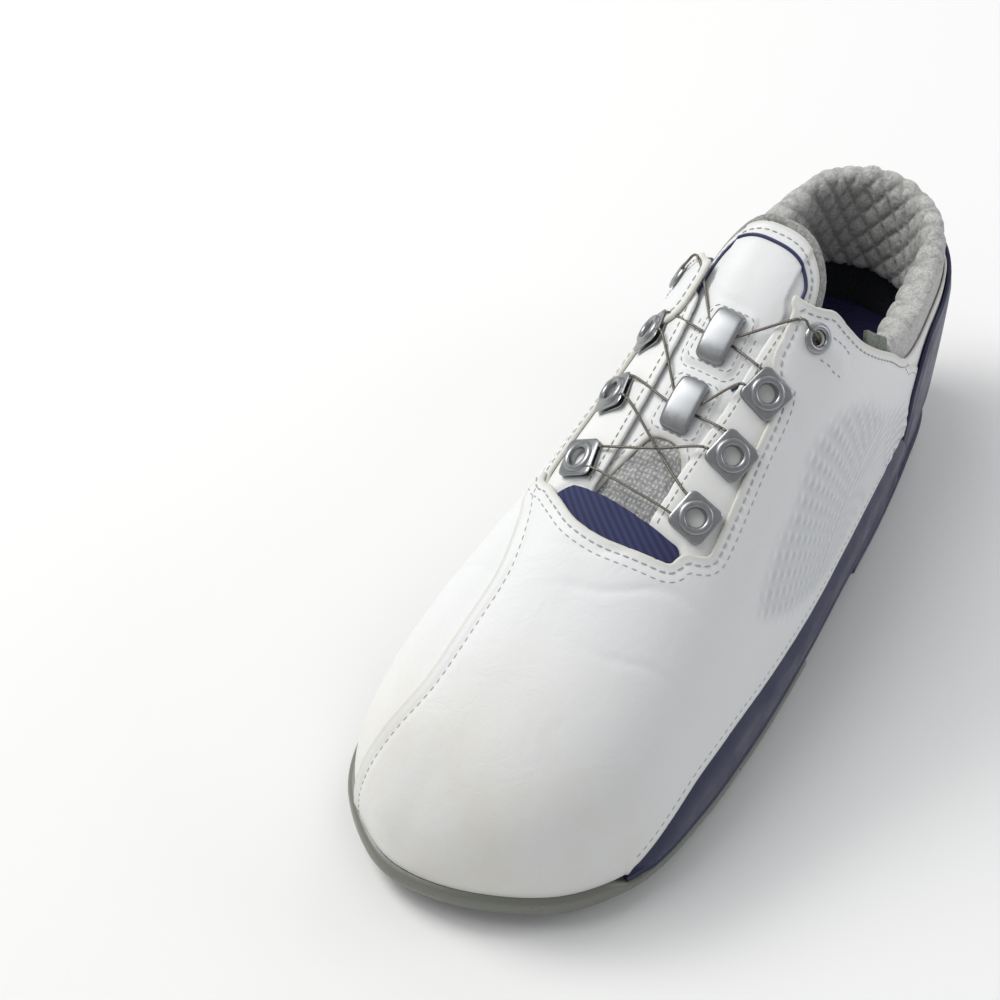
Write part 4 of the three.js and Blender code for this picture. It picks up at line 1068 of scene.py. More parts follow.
nickel, nickel_tree, nickel_shader = new_material("Satin nickel plated zinc", Metallic=1.0)
brush = place_pattern(nickel_tree, "ShaderNodeTexNoise", 1 / (1.6 * MM), Detail=6.0, Roughness=0.7)
nickel_rough = add_node(nickel_tree, "ShaderNodeMapRange", {"clamp": True}, {
    "Value": brush.outputs["Fac"], "From Min": 0.3, "From Max": 0.7, "To Min": 0.3, "To Max": 0.44})
nickel_tree.links.new(nickel_rough.outputs[0], nickel_shader.inputs["Roughness"])
nickel_colour = mix_colours(nickel_tree, brush.outputs["Fac"], linear("#8D9092"), linear("#A9ABAD"))
nickel_tree.links.new(nickel_colour, nickel_shader.inputs["Base Color"])

guide_spots = [(-20, 4), (-20, -17), (-18, -39), (25.5, -3), (25.5, -22), (25, -41)]
guide_names = [f"{side}_guide_{k}" for side in ("medial", "lateral") for k in (1, 2, 3)]
guide_rings = [
    circle_ring(2.95, 0.0), circle_ring(2.95, 0.6), circle_ring(3.05, 2.4), circle_ring(3.2, 2.95),
    circle_ring(3.6, 3.35), circle_ring(4.3, 3.45), circle_ring(5.0, 3.3), circle_ring(5.4, 2.9),
    circle_ring(5.55, 2.4), plate_ring(0.6, 2.3), plate_ring(0.25, 2.22), plate_ring(0.0, 1.98),
    plate_ring(0.0, 1.8), plate_ring(0.4, 1.7), circle_ring(3.65, 1.68), circle_ring(3.65, 0.72),
    plate_ring(0.4, 0.7), plate_ring(0.0, 0.55), plate_ring(0.0, 0.15), plate_ring(0.2, 0.0),
]
for guide_name, (x, y) in zip(guide_names, guide_spots):
    place, seated = seat_on_last(x, y, -1.6)
    guide = ring_solid(guide_name + "_plates", guide_rings, place, seated)
    dress(guide, nickel, "root", guide_name, "satin_metal")

eyelet_rings = [circle_ring(r, z) for r, z in (
    (2.5, -1.3), (2.5, 0.5), (2.65, 1.0), (3.0, 1.35), (3.5, 1.45), (4.1, 1.3), (4.6, 1.0), (4.9, 0.6),
    (4.95, 0.35), (3.3, 0.3), (3.2, 0.2), (3.2, -1.3))]
eyelet_rise = 0.85
for eyelet_name, (x, y) in zip(("medial_eyelet", "lateral_eyelet"), top_eyelets):
    place, seated = seat_on_last(x, y, eyelet_rise - 0.4)
    eyelet = ring_solid(eyelet_name + "_ring", eyelet_rings, place, seated)
    dress(eyelet, nickel, "root", eyelet_name, "satin_metal")


def bridge(name, place, axes, half_x=5.0, half_y=9.0, rise=4.2, wall=1.2, foot=2.2):
    """An arched plate with a foot at each end: rows of points along it, on its top and underneath."""
    shape = bmesh.new()
    along = np.sin(np.linspace(-np.pi / 2, np.pi / 2, 41)) * half_y
    across = np.sin(np.linspace(-np.pi / 2, np.pi / 2, 21))
    grids = []
    for under in (False, True):
        rows = []
        for y in along:
            width = half_x * (1 - 0.1 * (y / half_y) ** 2) * (1 - max(0.0, abs(y) / half_y - 0.82) ** 2 * 9)
            row = []
            for u in across:
                edge = 0.45 * (max(0.0, abs(u) - 0.72) / 0.28) ** 2.5
                end = 0.5 * (max(0.0, abs(y) / half_y - 0.9) / 0.1) ** 2.5
                top = rise - 1.5 * (abs(y) / half_y) ** 3 - edge - end - 0.25 * u * u
                low = top - wall + 2 * edge + end if abs(y) < half_y - foot else 0.0
                low = min(low, top - 0.25)
                row.append(shape.verts.new(Vector(to_model(
                    place + np.array([u * width, y, low if under else top]) @ axes))))
            rows.append(row)
        grids.append(rows)
    top_grid, low_grid = grids
    for i in range(40):
        for j in range(20):
            shape.faces.new([top_grid[i][j], top_grid[i][j + 1], top_grid[i + 1][j + 1],
                             top_grid[i + 1][j]])
            shape.faces.new([low_grid[i + 1][j], low_grid[i + 1][j + 1], low_grid[i][j + 1],
                             low_grid[i][j]])
    border = ([(0, j) for j in range(20)] + [(i, 20) for i in range(40)] + [(40, 20 - j) for j in range(20)]
              + [(40 - i, 0) for i in range(40)])
    for (i, j), (m, n) in zip(border, border[1:] + border[:1]):
        shape.faces.new([top_grid[m][n], top_grid[i][j], low_grid[i][j], low_grid[m][n]])
    for face in shape.faces:
        face.smooth = True
    return built(name, shape, sharp_from=45)


for guide_name, (x, y) in zip(("upper_tongue_guide", "lower_tongue_guide"), tongue_guides):
    place, seated = seat_on_last(x, y, -4.6)
    arch = bridge(guide_name + "_bridge", place, seated)
    dress(arch, nickel, "tongue", guide_name, "satin_metal")

# --- Lace -----------------------------------------------------------------------------------------
# A 0.9 mm cable of twisted stainless steel wires in a nylon coat, both ends wound on the dial's
# spool. It runs in clear tubes through the quarters, out of the top eyelets, and zigzags down.

dial_axis = np.array([0.0, 150.6, 64.0])
tube_depth, guide_lace, arch_shallow, arch_deep = -2.8, -0.4, -2.2, -3.7
quarter_route = [(0.41, 0.52), (0.385, 0.64), (0.355, 0.73), (0.32, 0.79), (0.28, 0.825), (0.23, 0.845),
                 (0.18, 0.855), (0.13, 0.86), (0.09, 0.86)]


def spool_run(side):
    steps = [(14, -3.6, 3.5), (11.5, 0.4, 5.5), (9.5, 2.9, 6.9), (5, 3.3, 6.9), (1, 3.3, 6.9)]
    return [dial_axis + np.array([side * x, out, side * rise]) for x, out, rise in steps]


def quarter_run(side):
    return [skin(t, side * v, tube_depth) for t, v in quarter_route]


def eyelet_run(spot, side):
    x, y = spot
    steps = [(-7, -1.5, 0.7), (-3.6, -0.8, 2.0), (-0.3, 0, 1.0), (1.2, 0.6, -1.4), (4, 2.4, -2.8),
             (7, 5, -2.8)]
    return [on_top(x + side * dx, y + dy, height) for dx, dy, height in steps]


def guide_turn(spot, side):
    place, (across, forwards, _) = seat_on_last(*spot, guide_lace)
    corners = [(-8, 4), (-1.5, 4.4), (2.6, 3.5), (4.2, 0), (2.6, -3.5), (-1.5, -4.4), (-8, -4)]
    return [place + side * out * across + rise * forwards for out, rise in corners]


def over_arch(spot, slope, height):
    x, y = spot
    return [on_top(x + step, y + slope * step, height) for step in (-4, 0, 4)]


inner_one, inner_two, inner_three, outer_one, outer_two, outer_three = guide_spots
inner_eyelet, outer_eyelet = top_eyelets
upper_arch, lower_arch = tongue_guides
crossing_spot = (4, -31)
lace_sections = [
    ("root", spool_run(1)[::-1] + quarter_run(1)[::-1] + eyelet_run(outer_eyelet, 1)[::-1]),
    ("tongue", over_arch(upper_arch, 0.2, arch_shallow)[::-1]),
    ("root", guide_turn(inner_one, -1)),
    ("tongue", over_arch(lower_arch, -0.25, arch_deep)),
    ("root", guide_turn(outer_two, 1)),
    ("tongue", [on_top(*crossing_spot, -0.6)]),
    ("root", guide_turn(inner_three, -1)),
    ("root", guide_turn(outer_three, 1)[::-1]),
    ("tongue", [on_top(*crossing_spot, -2.4)]),
    ("root", guide_turn(inner_two, -1)[::-1]),
    ("tongue", over_arch(lower_arch, 0.25, arch_shallow)),
    ("root", guide_turn(outer_one, 1)[::-1]),
    ("tongue", over_arch(upper_arch, -0.2, arch_deep)[::-1]),
    ("root", eyelet_run(inner_eyelet, -1) + quarter_run(-1) + spool_run(-1)),
]
lace_points = np.array([point for _, points in lace_sections for point in points])
lace_bodies = [body for body, points in lace_sections for _ in points]
lace_ends = np.vstack([lace_points[:1], lace_points, lace_points[-1:]])


def lace_span(k):
    """The smooth stretch of lace from point k to the next."""
    a, b, c, d = lace_ends[k:k + 4]
    steps = max(3, int(np.linalg.norm(c - b) / 0.9))
    u = (np.arange(steps + 1) / steps)[:, None]
    return spline(a, b, c, d, u)


def smooth_space(points):
    """A Catmull-Rom curve through points in space, about 1 mm a step."""
    ends = np.vstack([points[:1], points, points[-1:]])
    curve = []
    for a, b, c, d in zip(ends, ends[1:], ends[2:], ends[3:]):
        steps = max(2, int(np.linalg.norm(c - b)))
        u = (np.arange(steps) / steps)[:, None]
        curve.append(0.5 * (2 * b + (c - a) * u + (2 * a - 5 * b + 4 * c - d) * u ** 2
                            + (3 * b - a - 3 * c + d) * u ** 3))
    return np.vstack(curve + [ends[-1:]])


cable, cable_tree, cable_shader = new_material("Nylon coated steel cable", Metallic=0.75, Roughness=0.42)
lay_uv = add_node(cable_tree, "ShaderNodeUVMap", {"uv_map": "length"})
lay_axes = add_node(cable_tree, "ShaderNodeSeparateXYZ", None, {"Vector": lay_uv.outputs["UV"]})
twist = add_node(cable_tree, "ShaderNodeMath", {"operation": "MULTIPLY_ADD"},
                 {0: lay_axes.outputs["X"], 1: 5.0, 2: lay_axes.outputs["Y"]})
strand = add_node(cable_tree, "ShaderNodeMath", {"operation": "PINGPONG"}, {0: twist.outputs[0], 1: 0.5})
strand_bump = add_bump(cable_tree, 0.8, 0.12, strand.outputs[0])
cable_tree.links.new(strand_bump, cable_shader.inputs["Normal"])
# Painted shade: each wire of the lay is darker towards its edges and lighter along its middle, on the same
# wave as the bump.
cable_colour_with_painted_shade = mix_colours(cable_tree, strand.outputs[0], linear("#5F5B54"), linear("#9A958C"))
cable_tree.links.new(cable_colour_with_painted_shade, cable_shader.inputs["Base Color"])

runs = []
for k in range(len(lace_points) - 1):
    kind = (lace_bodies[k], lace_bodies[k + 1])
    if runs and runs[-1][0] == kind and kind[0] == kind[1]:
        runs[-1][1].append(lace_span(k)[1:])
    else:
        runs.append((kind, [lace_span(k)]))
lace_length = 0.0
for number, ((first_body, last_body), spans) in enumerate(runs, 1):
    points = np.vstack(spans)
    lace_length += np.linalg.norm(np.diff(points, axis=0), axis=1).sum()
    stretch = tube_mesh(f"lace_run_{number}", points, 0.45, sides=8)
    stretch.data.materials.append(cable)
    if first_body == last_body:
        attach(stretch, first_body)
    else:
        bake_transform(stretch, first_body, last_body, to_model(points[0]), to_model(points[-1]))
    if number == 1:
        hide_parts("lace_cable")
print("lace length", round(lace_length), "mm")

nylon_tube, _, _ = new_material(
    "Clear nylon tube", Base_Color=linear("#C9CAC2"), Roughness=0.3, Transmission_Weight=0.4, IOR=1.53)
for side, spot, node_name in ((-1, inner_eyelet, "medial_lace_tube"),
                              (1, outer_eyelet, "lateral_lace_tube")):
    x, y = spot
    inner_points = [on_top(x + side * 7, y + 5, tube_depth)] + quarter_run(side)
    tube = tube_mesh(node_name + "_sleeve", smooth_space(inner_points), 0.95, sides=12)
    dress(tube, nylon_tube, "root", node_name, "translucent_tpu")

# --- Linings, gorings and collar pad --------------------------------------------------------------
# Grey mesh lines the vamp and charcoal textile lines the heel. The collar is foam in a light grey
# knit, quilted in a diamond lattice and puffed by its filling; it rolls over the topline.

collar_outline = [(50, 86), (58, 77), (66, 69), (76, 62), (95, 56.5), (170, 56.5), (170, 99), (140, 99),
                  (125, 96.5), (110, 94.5), (95, 95), (80, 97.5), (66, 101), (56, 104), (47, 106),
                  (45, 98)]
collar_inside = side_distance(collar_outline, True)
lining_hole = [(21, 90), (21, -20), (20, -50), (12, -62), (-6, -62), (-13, -50), (-13, 90)]
lining_base = np.minimum(below_topline - 1.5, -collar_inside - 1.0)
vamp_lining = cut_sheet("vamp_lining_textile", np.minimum.reduce(
    [lining_base, -plan_distance(lining_hole, True), 29.5 - P[..., 1]]), -4.05, 0.9)
heel_lining = cut_sheet("heel_lining_textile", np.minimum(lining_base, P[..., 1] - 29.5), -4.05, 0.9)
frayed = 0.35 * np.sin(P[..., 1] * 3.1) * np.sin(P[..., 2] * 2.7)
goring_inside = np.minimum.reduce([below_topline + 4.8 + frayed, 9 - below_topline, P[..., 1] - 43,
                                   57 - P[..., 1]])
gorings = [cut_sheet(f"{side}_goring_elastic", np.where(V * sign > 0, goring_inside, -1.0), -1.95, 1.5)
           for side, sign in (("lateral", 1), ("medial", -1))]


def textile(name, dark, light, pitch, roughness=0.92, bump=0.6):
    """A knit or woven cloth: crossed threads at a pitch in mm, mottled between two colours."""
    made, tree, shader = new_material(name, Roughness=roughness, Sheen_Weight=0.2)
    warp = place_pattern(tree, "ShaderNodeTexVoronoi", 1 / (pitch * MM))
    fibres = place_pattern(tree, "ShaderNodeTexNoise", 1 / (0.7 * pitch * MM), Detail=6.0, Roughness=0.75)
    patches_of_yarn = place_pattern(tree, "ShaderNodeTexNoise", 1 / (5 * pitch * MM), Detail=3.0)
    both = add_node(tree, "ShaderNodeMath", {"operation": "MULTIPLY_ADD"},
                    {0: warp.outputs["Distance"], 1: -0.7, 2: fibres.outputs["Fac"]})
    mottled = add_node(tree, "ShaderNodeMath", {"operation": "MULTIPLY_ADD"},
                       {0: patches_of_yarn.outputs["Fac"], 1: 0.5, 2: both.outputs[0]})
    share = add_node(tree, "ShaderNodeMapRange", {"clamp": True}, {
        "Value": mottled.outputs[0], "From Min": 0.1, "From Max": 0.85})
    colour = mix_colours(tree, share.outputs[0], linear(dark), linear(light))
    tree.links.new(colour, shader.inputs["Base Color"])
    relief_node = add_bump(tree, bump, 0.4 * pitch, both.outputs[0])
    tree.links.new(relief_node, shader.inputs["Normal"])
    return made


charcoal_cloth = textile("Charcoal brushed nylon", "#24272A", "#3B3F43", 0.8)
elastic_cloth = textile("Grey green elastic webbing", "#5C6259", "#8D9287", 0.9)
for piece, node_name, finish, slot_name in (
        (vamp_lining, "vamp_lining", heather, "grey_textile"),
        (heel_lining, "heel_lining", charcoal_cloth, "charcoal_textile"),
        (gorings[0], "lateral_goring", elastic_cloth, "elastic"),
        (gorings[1], "medial_goring", elastic_cloth, "elastic")):
    dress(piece, finish, "root", node_name, slot_name)


def remesh(piece, voxel):
    """The piece as an even mesh of small squares."""
    modifier = piece.modifiers.new("even squares", "REMESH")
    modifier.mode, modifier.voxel_size, modifier.use_smooth_shade = "VOXEL", voxel * MM, True
    result = bpy.data.meshes.new_from_object(piece.evaluated_get(bpy.context.evaluated_depsgraph_get()))
    piece.modifiers.remove(modifier)
    piece.data = result


def puff(piece, voxel, pressure, most):
    """Fills a pad: an even mesh is blown up as cloth, and no point moves more than most mm."""
    remesh(piece, voxel)
    at_rest = np.array([vertex.co for vertex in piece.data.vertices])
    cloth = piece.modifiers.new("filling", "CLOTH")
    cloth.settings.use_pressure = True
    cloth.settings.uniform_pressure_force = pressure
    cloth.settings.effector_weights.gravity = 0
    cloth.settings.tension_stiffness = 12
    cloth.point_cache.frame_start, cloth.point_cache.frame_end = 1, 20
    for frame_number in range(1, 21):
        scene.frame_set(frame_number)
    blown = piece.evaluated_get(bpy.context.evaluated_depsgraph_get()).to_mesh()
    moved = np.array([vertex.co for vertex in blown.vertices]) - at_rest
    piece.modifiers.remove(cloth)
    length = np.linalg.norm(moved, axis=1, keepdims=True)
    moved *= np.minimum(1, most * MM / np.maximum(length, 1e-9))
    piece.data.vertices.foreach_set("co", (at_rest + moved).ravel())
    scene.frame_set(1)


def subdivide(piece, levels):
    modifier = piece.modifiers.new("finer", "SUBSURF")
    modifier.levels = modifier.render_levels = levels
    result = bpy.data.meshes.new_from_object(piece.evaluated_get(bpy.context.evaluated_depsgraph_get()))
    piece.modifiers.remove(modifier)
    piece.data = result


def drawing_points(piece):
    flat = np.zeros(len(piece.data.vertices) * 3)
    piece.data.vertices.foreach_get("co", flat)
    return (flat.reshape(-1, 3) - drawing_zero) / MM


def vertex_normals(piece):
    flat = np.zeros(len(piece.data.vertices) * 3)
    piece.data.vertex_normals.foreach_get("vector", flat)
    return flat.reshape(-1, 3)


def set_drawing_points(piece, points):
    piece.data.vertices.foreach_set("co", to_model(points).ravel())
    piece.data.update()


collar_pad = cut_sheet("collar_pad_knit", collar_inside - 3.2, -2.3, 8.4, edge_radius=3.6)
puff(collar_pad, 4.0, 4.0, 3.0)
subdivide(collar_pad, 2)
collar_points = drawing_points(collar_pad)
rows_found, columns_found, height_over = near_last(collar_points)
round_collar = np.interp(T[rows_found, columns_found], grid_t, travel[-1] * np.linspace(0, 1, len(grid_t)))
round_collar *= np.where(V[rows_found, columns_found] < 0, -1, 1)
rise_on_collar = collar_points[:, 2] - 0.12 * np.abs(collar_points[:, 1] - 110)
outer_side = soft_step(round_collar, 22, 45) * soft_step(height_over, -9, -4)
quilt_a = ((round_collar / 11.0 + rise_on_collar / 12.0) % 1) - 0.5
quilt_b = ((round_collar / 11.0 - rise_on_collar / 12.0) % 1) - 0.5
across_groove = np.minimum(np.abs(quilt_a), np.abs(quilt_b)) * 8.2
quilting = -0.75 * np.exp(-(across_groove / 0.8) ** 2) + 0.3 * soft_step(across_groove, 0.6, 3.0)
gathers = 0.35 * np.sin(round_collar * 1.15 + 0.8 * np.sin(collar_points[:, 2] * 0.5))
on_roll = soft_step(height_over, -6.5, -3.0)
collar_relief = quilting * (1 - 0.75 * outer_side) * (1 - 0.55 * on_roll) + gathers * outer_side
collar_points = collar_points + vertex_normals(collar_pad) * collar_relief[:, None]
rows_found, columns_found, height_over = near_last(collar_points)
covered = np.maximum.reduce([lateral_inside, medial_inside, heel_inside])[rows_found, columns_found] > -1.5
too_high = np.where(covered, np.maximum(height_over + 1.75, 0), np.maximum(height_over - 1.2, 0))
under_goring = goring_inside[rows_found, columns_found] > -1.5
too_high = np.where(under_goring, np.maximum(height_over + 3.6, 0), too_high)
collar_points -= N[rows_found, columns_found] * too_high[:, None]
set_drawing_points(collar_pad, collar_points)
# Painted shade: the knit is darkened in the quilting grooves, less on the outer side; this layer carries how
# dark.
painted_groove_shade_layer = collar_pad.data.attributes.new("groove", "FLOAT", "POINT")
painted_groove_darkness = np.exp(-(across_groove / 0.9) ** 2) * (1 - 0.8 * outer_side)
painted_groove_shade_layer.data.foreach_set("value", painted_groove_darkness.astype(np.float32))

collar_knit = textile("Light grey heather knit", "#A3A3A1", "#D6D5D2", 0.9, bump=0.6)
knit_tree = collar_knit.node_tree
knit_shader = knit_tree.nodes["Principled BSDF"]
knit_colour = knit_shader.inputs["Base Color"].links[0].from_socket
# The painted shade of the quilting grooves is mixed into the knit's colour here.
groove_attribute = add_node(knit_tree, "ShaderNodeAttribute", {"attribute_name": "groove"})
groove_share = add_node(knit_tree, "ShaderNodeMath", {"operation": "MULTIPLY"},
                        {0: groove_attribute.outputs["Fac"], 1: 0.45})
painted_groove_shade = mix_colours(knit_tree, groove_share.outputs[0], knit_colour, linear("#7B7B7A"))
knit_tree.links.new(painted_groove_shade, knit_shader.inputs["Base Color"])
collar_pad.data.materials.clear()
dress(collar_pad, collar_knit, "root", "collar_pad", "grey_textile")

# The tongue's pad: terry over foam, a little wider than the leather that is sewn on it
pad_border = 2.8 * soft_step(P[..., 1], 2, 16)
pad_inside = np.where(np.abs(V) > 0.75, -1.0, tongue_inside + pad_border)
pad_lift = 1.7 * soft_step(-tongue_inside, -0.6, 1.4)
pad_lift += np.where(under_throat, 0.3, crown) * soft_step(tongue_inside, 0, 6)
tongue_pad = cut_sheet("tongue_pad_terry", pad_inside, -7.2 + pad_lift, 3.2)
terry = textile("Grey terry cloth", "#7F807F", "#B5B5B2", 1.1, bump=0.9)
dress(tongue_pad, terry, "tongue", "tongue_foam", "grey_textile")

# --- Sole -------------------------------------------------------------------------------------
# A frame of navy thermoplastic polyurethane cups the shoe from the ball to the heel. Under it lie a
# clear grey forefoot piece, whose lip shows round the toe, and a navy heel piece.

ground_y = np.array([-200, -150, -130, -38, -10, 20, 45, 70, 136, 146, 200.0])
ground_z = np.array([0.5, 0.5, 0, 0, 3, 5, 3.5, 0, 0, 1.5, 1.5]) + 7.0
soft_y = np.linspace(-200, 200, 801)
soft_ground = np.interp(soft_y, ground_y, ground_z)
for _ in range(60):
    soft_ground[1:-1] = (soft_ground[:-2] + 2 * soft_ground[1:-1] + soft_ground[2:]) / 4
feather_t = np.linspace(0, 1, 500)


def ground(y):
    return np.interp(y, soft_y, soft_ground)


def feather_at(t):
    return last_point(t, 1.0)[..., 2]


def closed_from_top(name, grid_points, low, bulge, rings=6):
    """A plate from a grid of top points: its rim bulges out, and low(y) gives its underside."""
    shape = bmesh.new()
    rows = [[shape.verts.new(Vector(p)) for p in row] for row in grid_points]
    for one, other in zip(rows, rows[1:]):
        for k in range(len(one) - 1):
            shape.faces.new([one[k], one[k + 1], other[k + 1], other[k]])
    bmesh.ops.remove_doubles(shape, verts=shape.verts, dist=0.05)
    bmesh.ops.dissolve_degenerate(shape, dist=0.01, edges=shape.edges)
    border = [edge for edge in shape.edges if edge.is_boundary]
    outward = {}
    for edge in border:
        along = edge.verts[1].co - edge.verts[0].co
        away = Vector((along.y, -along.x, 0))
        middle = (edge.verts[0].co + edge.verts[1].co) / 2
        if away.dot(edge.link_faces[0].calc_center_median() - middle) > 0:
            away = -away
        for vertex in edge.verts:
            outward[vertex] = outward.get(vertex, Vector()) + away
    top_faces = [list(face.verts) for face in shape.faces]
    top_verts = list(shape.verts)
    steps = [{vertex: vertex for vertex in outward}]
    for k in range(1, rings):
        share = k / rings
        ring = {}
        for vertex, away in outward.items():
            bottom = low(vertex.co.y)
            z = vertex.co.z + (bottom - vertex.co.z) * (share - math.sin(2 * math.pi * share) / 9)
            out = bulge * math.sin(math.pi * share) ** 0.55
            place = vertex.co + away.normalized() * out
            ring[vertex] = shape.verts.new((place.x, place.y, z))
        steps.append(ring)
    under = {vertex: shape.verts.new((vertex.co.x, vertex.co.y, low(vertex.co.y))) for vertex in top_verts}
    steps.append(under)
    for corners in top_faces:
        shape.faces.new([under[vertex] for vertex in reversed(corners)])
    for edge in border:
        first, second = edge.verts
        for near_ring, far_ring in zip(steps, steps[1:]):
            shape.faces.new([near_ring[first], near_ring[second], far_ring[second], far_ring[first]])
    for face in shape.faces:
        face.smooth = True
    for vertex in shape.verts:
        vertex.co = Vector(to_model(vertex.co))
    return built(name, shape, sharp_from=50)


def t_at_y(y):
    return float(np.interp(-y, -last_point(feather_t, 1.0)[..., 1], feather_t))


def plan_grid(t_from, t_to, depth, top, rows=90, columns=41):
    """Rows of points across the sole between two t, inset by a depth, with top(y, u) as height."""
    lines = []
    for t in np.linspace(t_from, t_to, rows):
        inner, outer = skin(np.array([t, t]), np.array([-1.0, 1.0]), -depth * np.ones(2))
        line = []
        for u in np.sin(np.linspace(-np.pi / 2, np.pi / 2, columns)):
            x, y = (inner[:2] * (1 - u) + outer[:2] * (1 + u)) / 2
            line.append((x, y, top(t, y, u)))
        lines.append(line)
    return lines


toe_break = -112.0


def forefoot_top(t, y, u):
    lip = float(soft_step(abs(u), 0.94, 0.97)) if t < 0.985 else 1.0
    lip *= float(soft_step(-y, -toe_break - 1, -toe_break + 6))
    return ground(y) + 4.5 + lip * (feather_at(t) - 0.3 - ground(y) - 4.5)


forefoot = closed_from_top("forefoot_outsole_plate", plan_grid(t_at_y(-6), 1.0, -0.2, forefoot_top),
                           lambda y: ground(y), 2.2)
heel_top = plan_grid(0.0, t_at_y(40), -0.2, lambda t, y, u: ground(y) + 4.5)
heel_plate = closed_from_top("heel_outsole_plate", heel_top, lambda y: ground(y), 2.2)

fine_v = np.linspace(0.55, 1.0, 240)


def wall_profile(t, sign):
    """The frame's wall at one place round the shoe, down its outside and up its inside."""
    column = last_point(t, sign * fine_v)
    edge_z = max(np.interp(column[-1, 1], foxing_line[:, 0], foxing_line[:, 1]), column[-1, 2] - 2)
    wall_z = np.linspace(min(edge_z + 3.0, column[0, 2]), column[-1, 2], 14)
    v_steps = np.interp(-wall_z, -column[:, 2], fine_v)
    lifts = -1.0 + 3.2 * soft_step(edge_z - wall_z, -1.5, 8.0)
    lifts[-1] = max(lifts[-1], 1.6)
    outer = skin(np.full(14, t), sign * v_steps, lifts)
    inner = skin(np.full(14, t), sign * v_steps[::-1], np.full(14, -1.9))
    corner = outer[-1]
    inward = -last_normal(t, float(sign)) * (1, 1, 0)
    inward /= np.linalg.norm(inward)
    bottom = float(ground(corner[1])) + 4.8
    drop = corner[2] - bottom
    waist = [corner + inward * (0.9 * math.sin(math.pi * s)) - np.array([0, 0, drop * s])
             for s in (0.2, 0.4, 0.6, 0.8, 0.94)]
    foot = [corner + inward * (0.35 + extra) - np.array([0, 0, drop]) for extra in (0.0, 3.0, 7.0)]
    ledge = [corner + inward * (5.0 + extra) - np.array([0, 0, 0.35]) for extra in (2.0, 0.0)]
    return np.vstack([outer, waist, foot, ledge, inner])


t_break = t_at_y(toe_break)
side_t = t_break * np.linspace(1, 0, 130)
stations_round = [(t, 1.0) for t in side_t] + [(t, -1.0) for t in side_t[::-1][1:]]
frame_rows = [wall_profile(t, sign) for t, sign in stations_round]
shape = bmesh.new()
frame_verts = [[shape.verts.new(Vector(to_model(p))) for p in row] for row in frame_rows]
for one, other in zip(frame_verts, frame_verts[1:]):
    for k in range(len(one)):
        after = (k + 1) % len(one)
        shape.faces.new([one[k], one[after], other[after], other[k]]).smooth = True
shape.faces.new(frame_verts[0])
shape.faces.new(frame_verts[-1])
sole_frame = built("sole_frame_wall", shape, sharp_from=42)
tray_top = plan_grid(0.004, 0.995, 1.6, lambda t, y, u: ground(y) + 6.0)
frame_tray = closed_from_top("sole_frame_tray", tray_top, lambda y: ground(y) + 4.85, 0.3)

heel_guard_outline = [(87, -20), (87, 49), (88.5, 59), (92, 66), (98, 71.5), (106, 73.5), (115, 74),
                      (170, 77), (170, -20)]
guard_inside = side_distance(heel_guard_outline, True)
guard_height = 1.6 + 0.55 * soft_step(guard_inside, 1.5, 3.0)
heel_guard = cut_sheet("heel_guard_shell", guard_inside, guard_height, 1.6)


def moulded(name, code, roughness=0.45, grit=0.5, **more):
    """A moulded plastic with a fine spark-eroded texture, at a grit in mm."""
    made, tree, shader = new_material(name, Base_Color=linear(code), Roughness=roughness, **more)
    fine = place_pattern(tree, "ShaderNodeTexNoise", 1 / (grit * MM), Detail=4.0)
    sparks = add_bump(tree, 0.3, 0.12, fine.outputs["Fac"])
    tree.links.new(sparks, shader.inputs["Normal"])
    smudge = place_pattern(tree, "ShaderNodeTexNoise", 1 / (16 * MM), Detail=5.0, Roughness=0.6)
    worn = add_node(tree, "ShaderNodeMapRange", {"clamp": True}, {
        "Value": smudge.outputs["Fac"], "From Min": 0.35, "From Max": 0.7,
        "To Min": roughness - 0.08, "To Max": roughness + 0.14})
    tree.links.new(worn.outputs[0], shader.inputs["Roughness"])
    return made


navy_tpu = moulded("Satin navy polyurethane", "#1E2145", 0.4)
clear_tpu = moulded("Clear grey polyurethane", "#85877E", 0.34, Transmission_Weight=0.25, IOR=1.5,
                    Subsurface_Weight=0.0)
for piece, node_name, finish, slot_name in (
        (forefoot, "forefoot_outsole", clear_tpu, "translucent_tpu"),
        (heel_plate, "heel_outsole", navy_tpu, "navy_tpu"),
        (sole_frame, "sole_frame", navy_tpu, "navy_tpu"),
        (frame_tray, "", navy_tpu, "navy_tpu"),
        (heel_guard, "heel_guard", navy_tpu, "navy_tpu")):
    piece.data.materials.append(finish)
    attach(piece, "root")
    if node_name:
        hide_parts(node_name)

# --- Sock liner ---------------------------------------------------------------------------------
# A moulded foam footbed under brushed navy polyester, loose in the shoe on the insole board.

liner_rise = 2.3
liner_thickness = 4.0


def liner_top(t, y, u):
    """The footbed's top, which cups the foot at its edges behind the ball."""
    cup = 1.1 * max(0.0, abs(u) - 0.7) / 0.3 * (y > -20)
    return feather_at(t) + liner_rise + liner_thickness + cup


def liner_bottom(y):
    feather = np.interp(-y, -last_point(feather_t, 1.0)[..., 1], feather_at(feather_t))
    return float(feather) + liner_rise


sockliner = closed_from_top("sockliner_footbed", plan_grid(0.012, 0.985, 6.3, liner_top), liner_bottom, 0.5)
sock_cloth = textile("Brushed navy polyester", "#22224C", "#3A3A73", 0.8)
dress(sockliner, sock_cloth, "root", "sockliner", "navy_textile")

# --- Cleats ---------------------------------------------------------------------------------------
# Each cleat is one moulding of clear polyurethane: a stem that turns into its receptacle, a domed
# disc, and six curved prongs that splay under load.

cleat_spots = [(-28, -62), (36, -52), (-30, -98), (37, -93), (4, -122), (-18, 116), (19, 118)]
upright = np.eye(3)


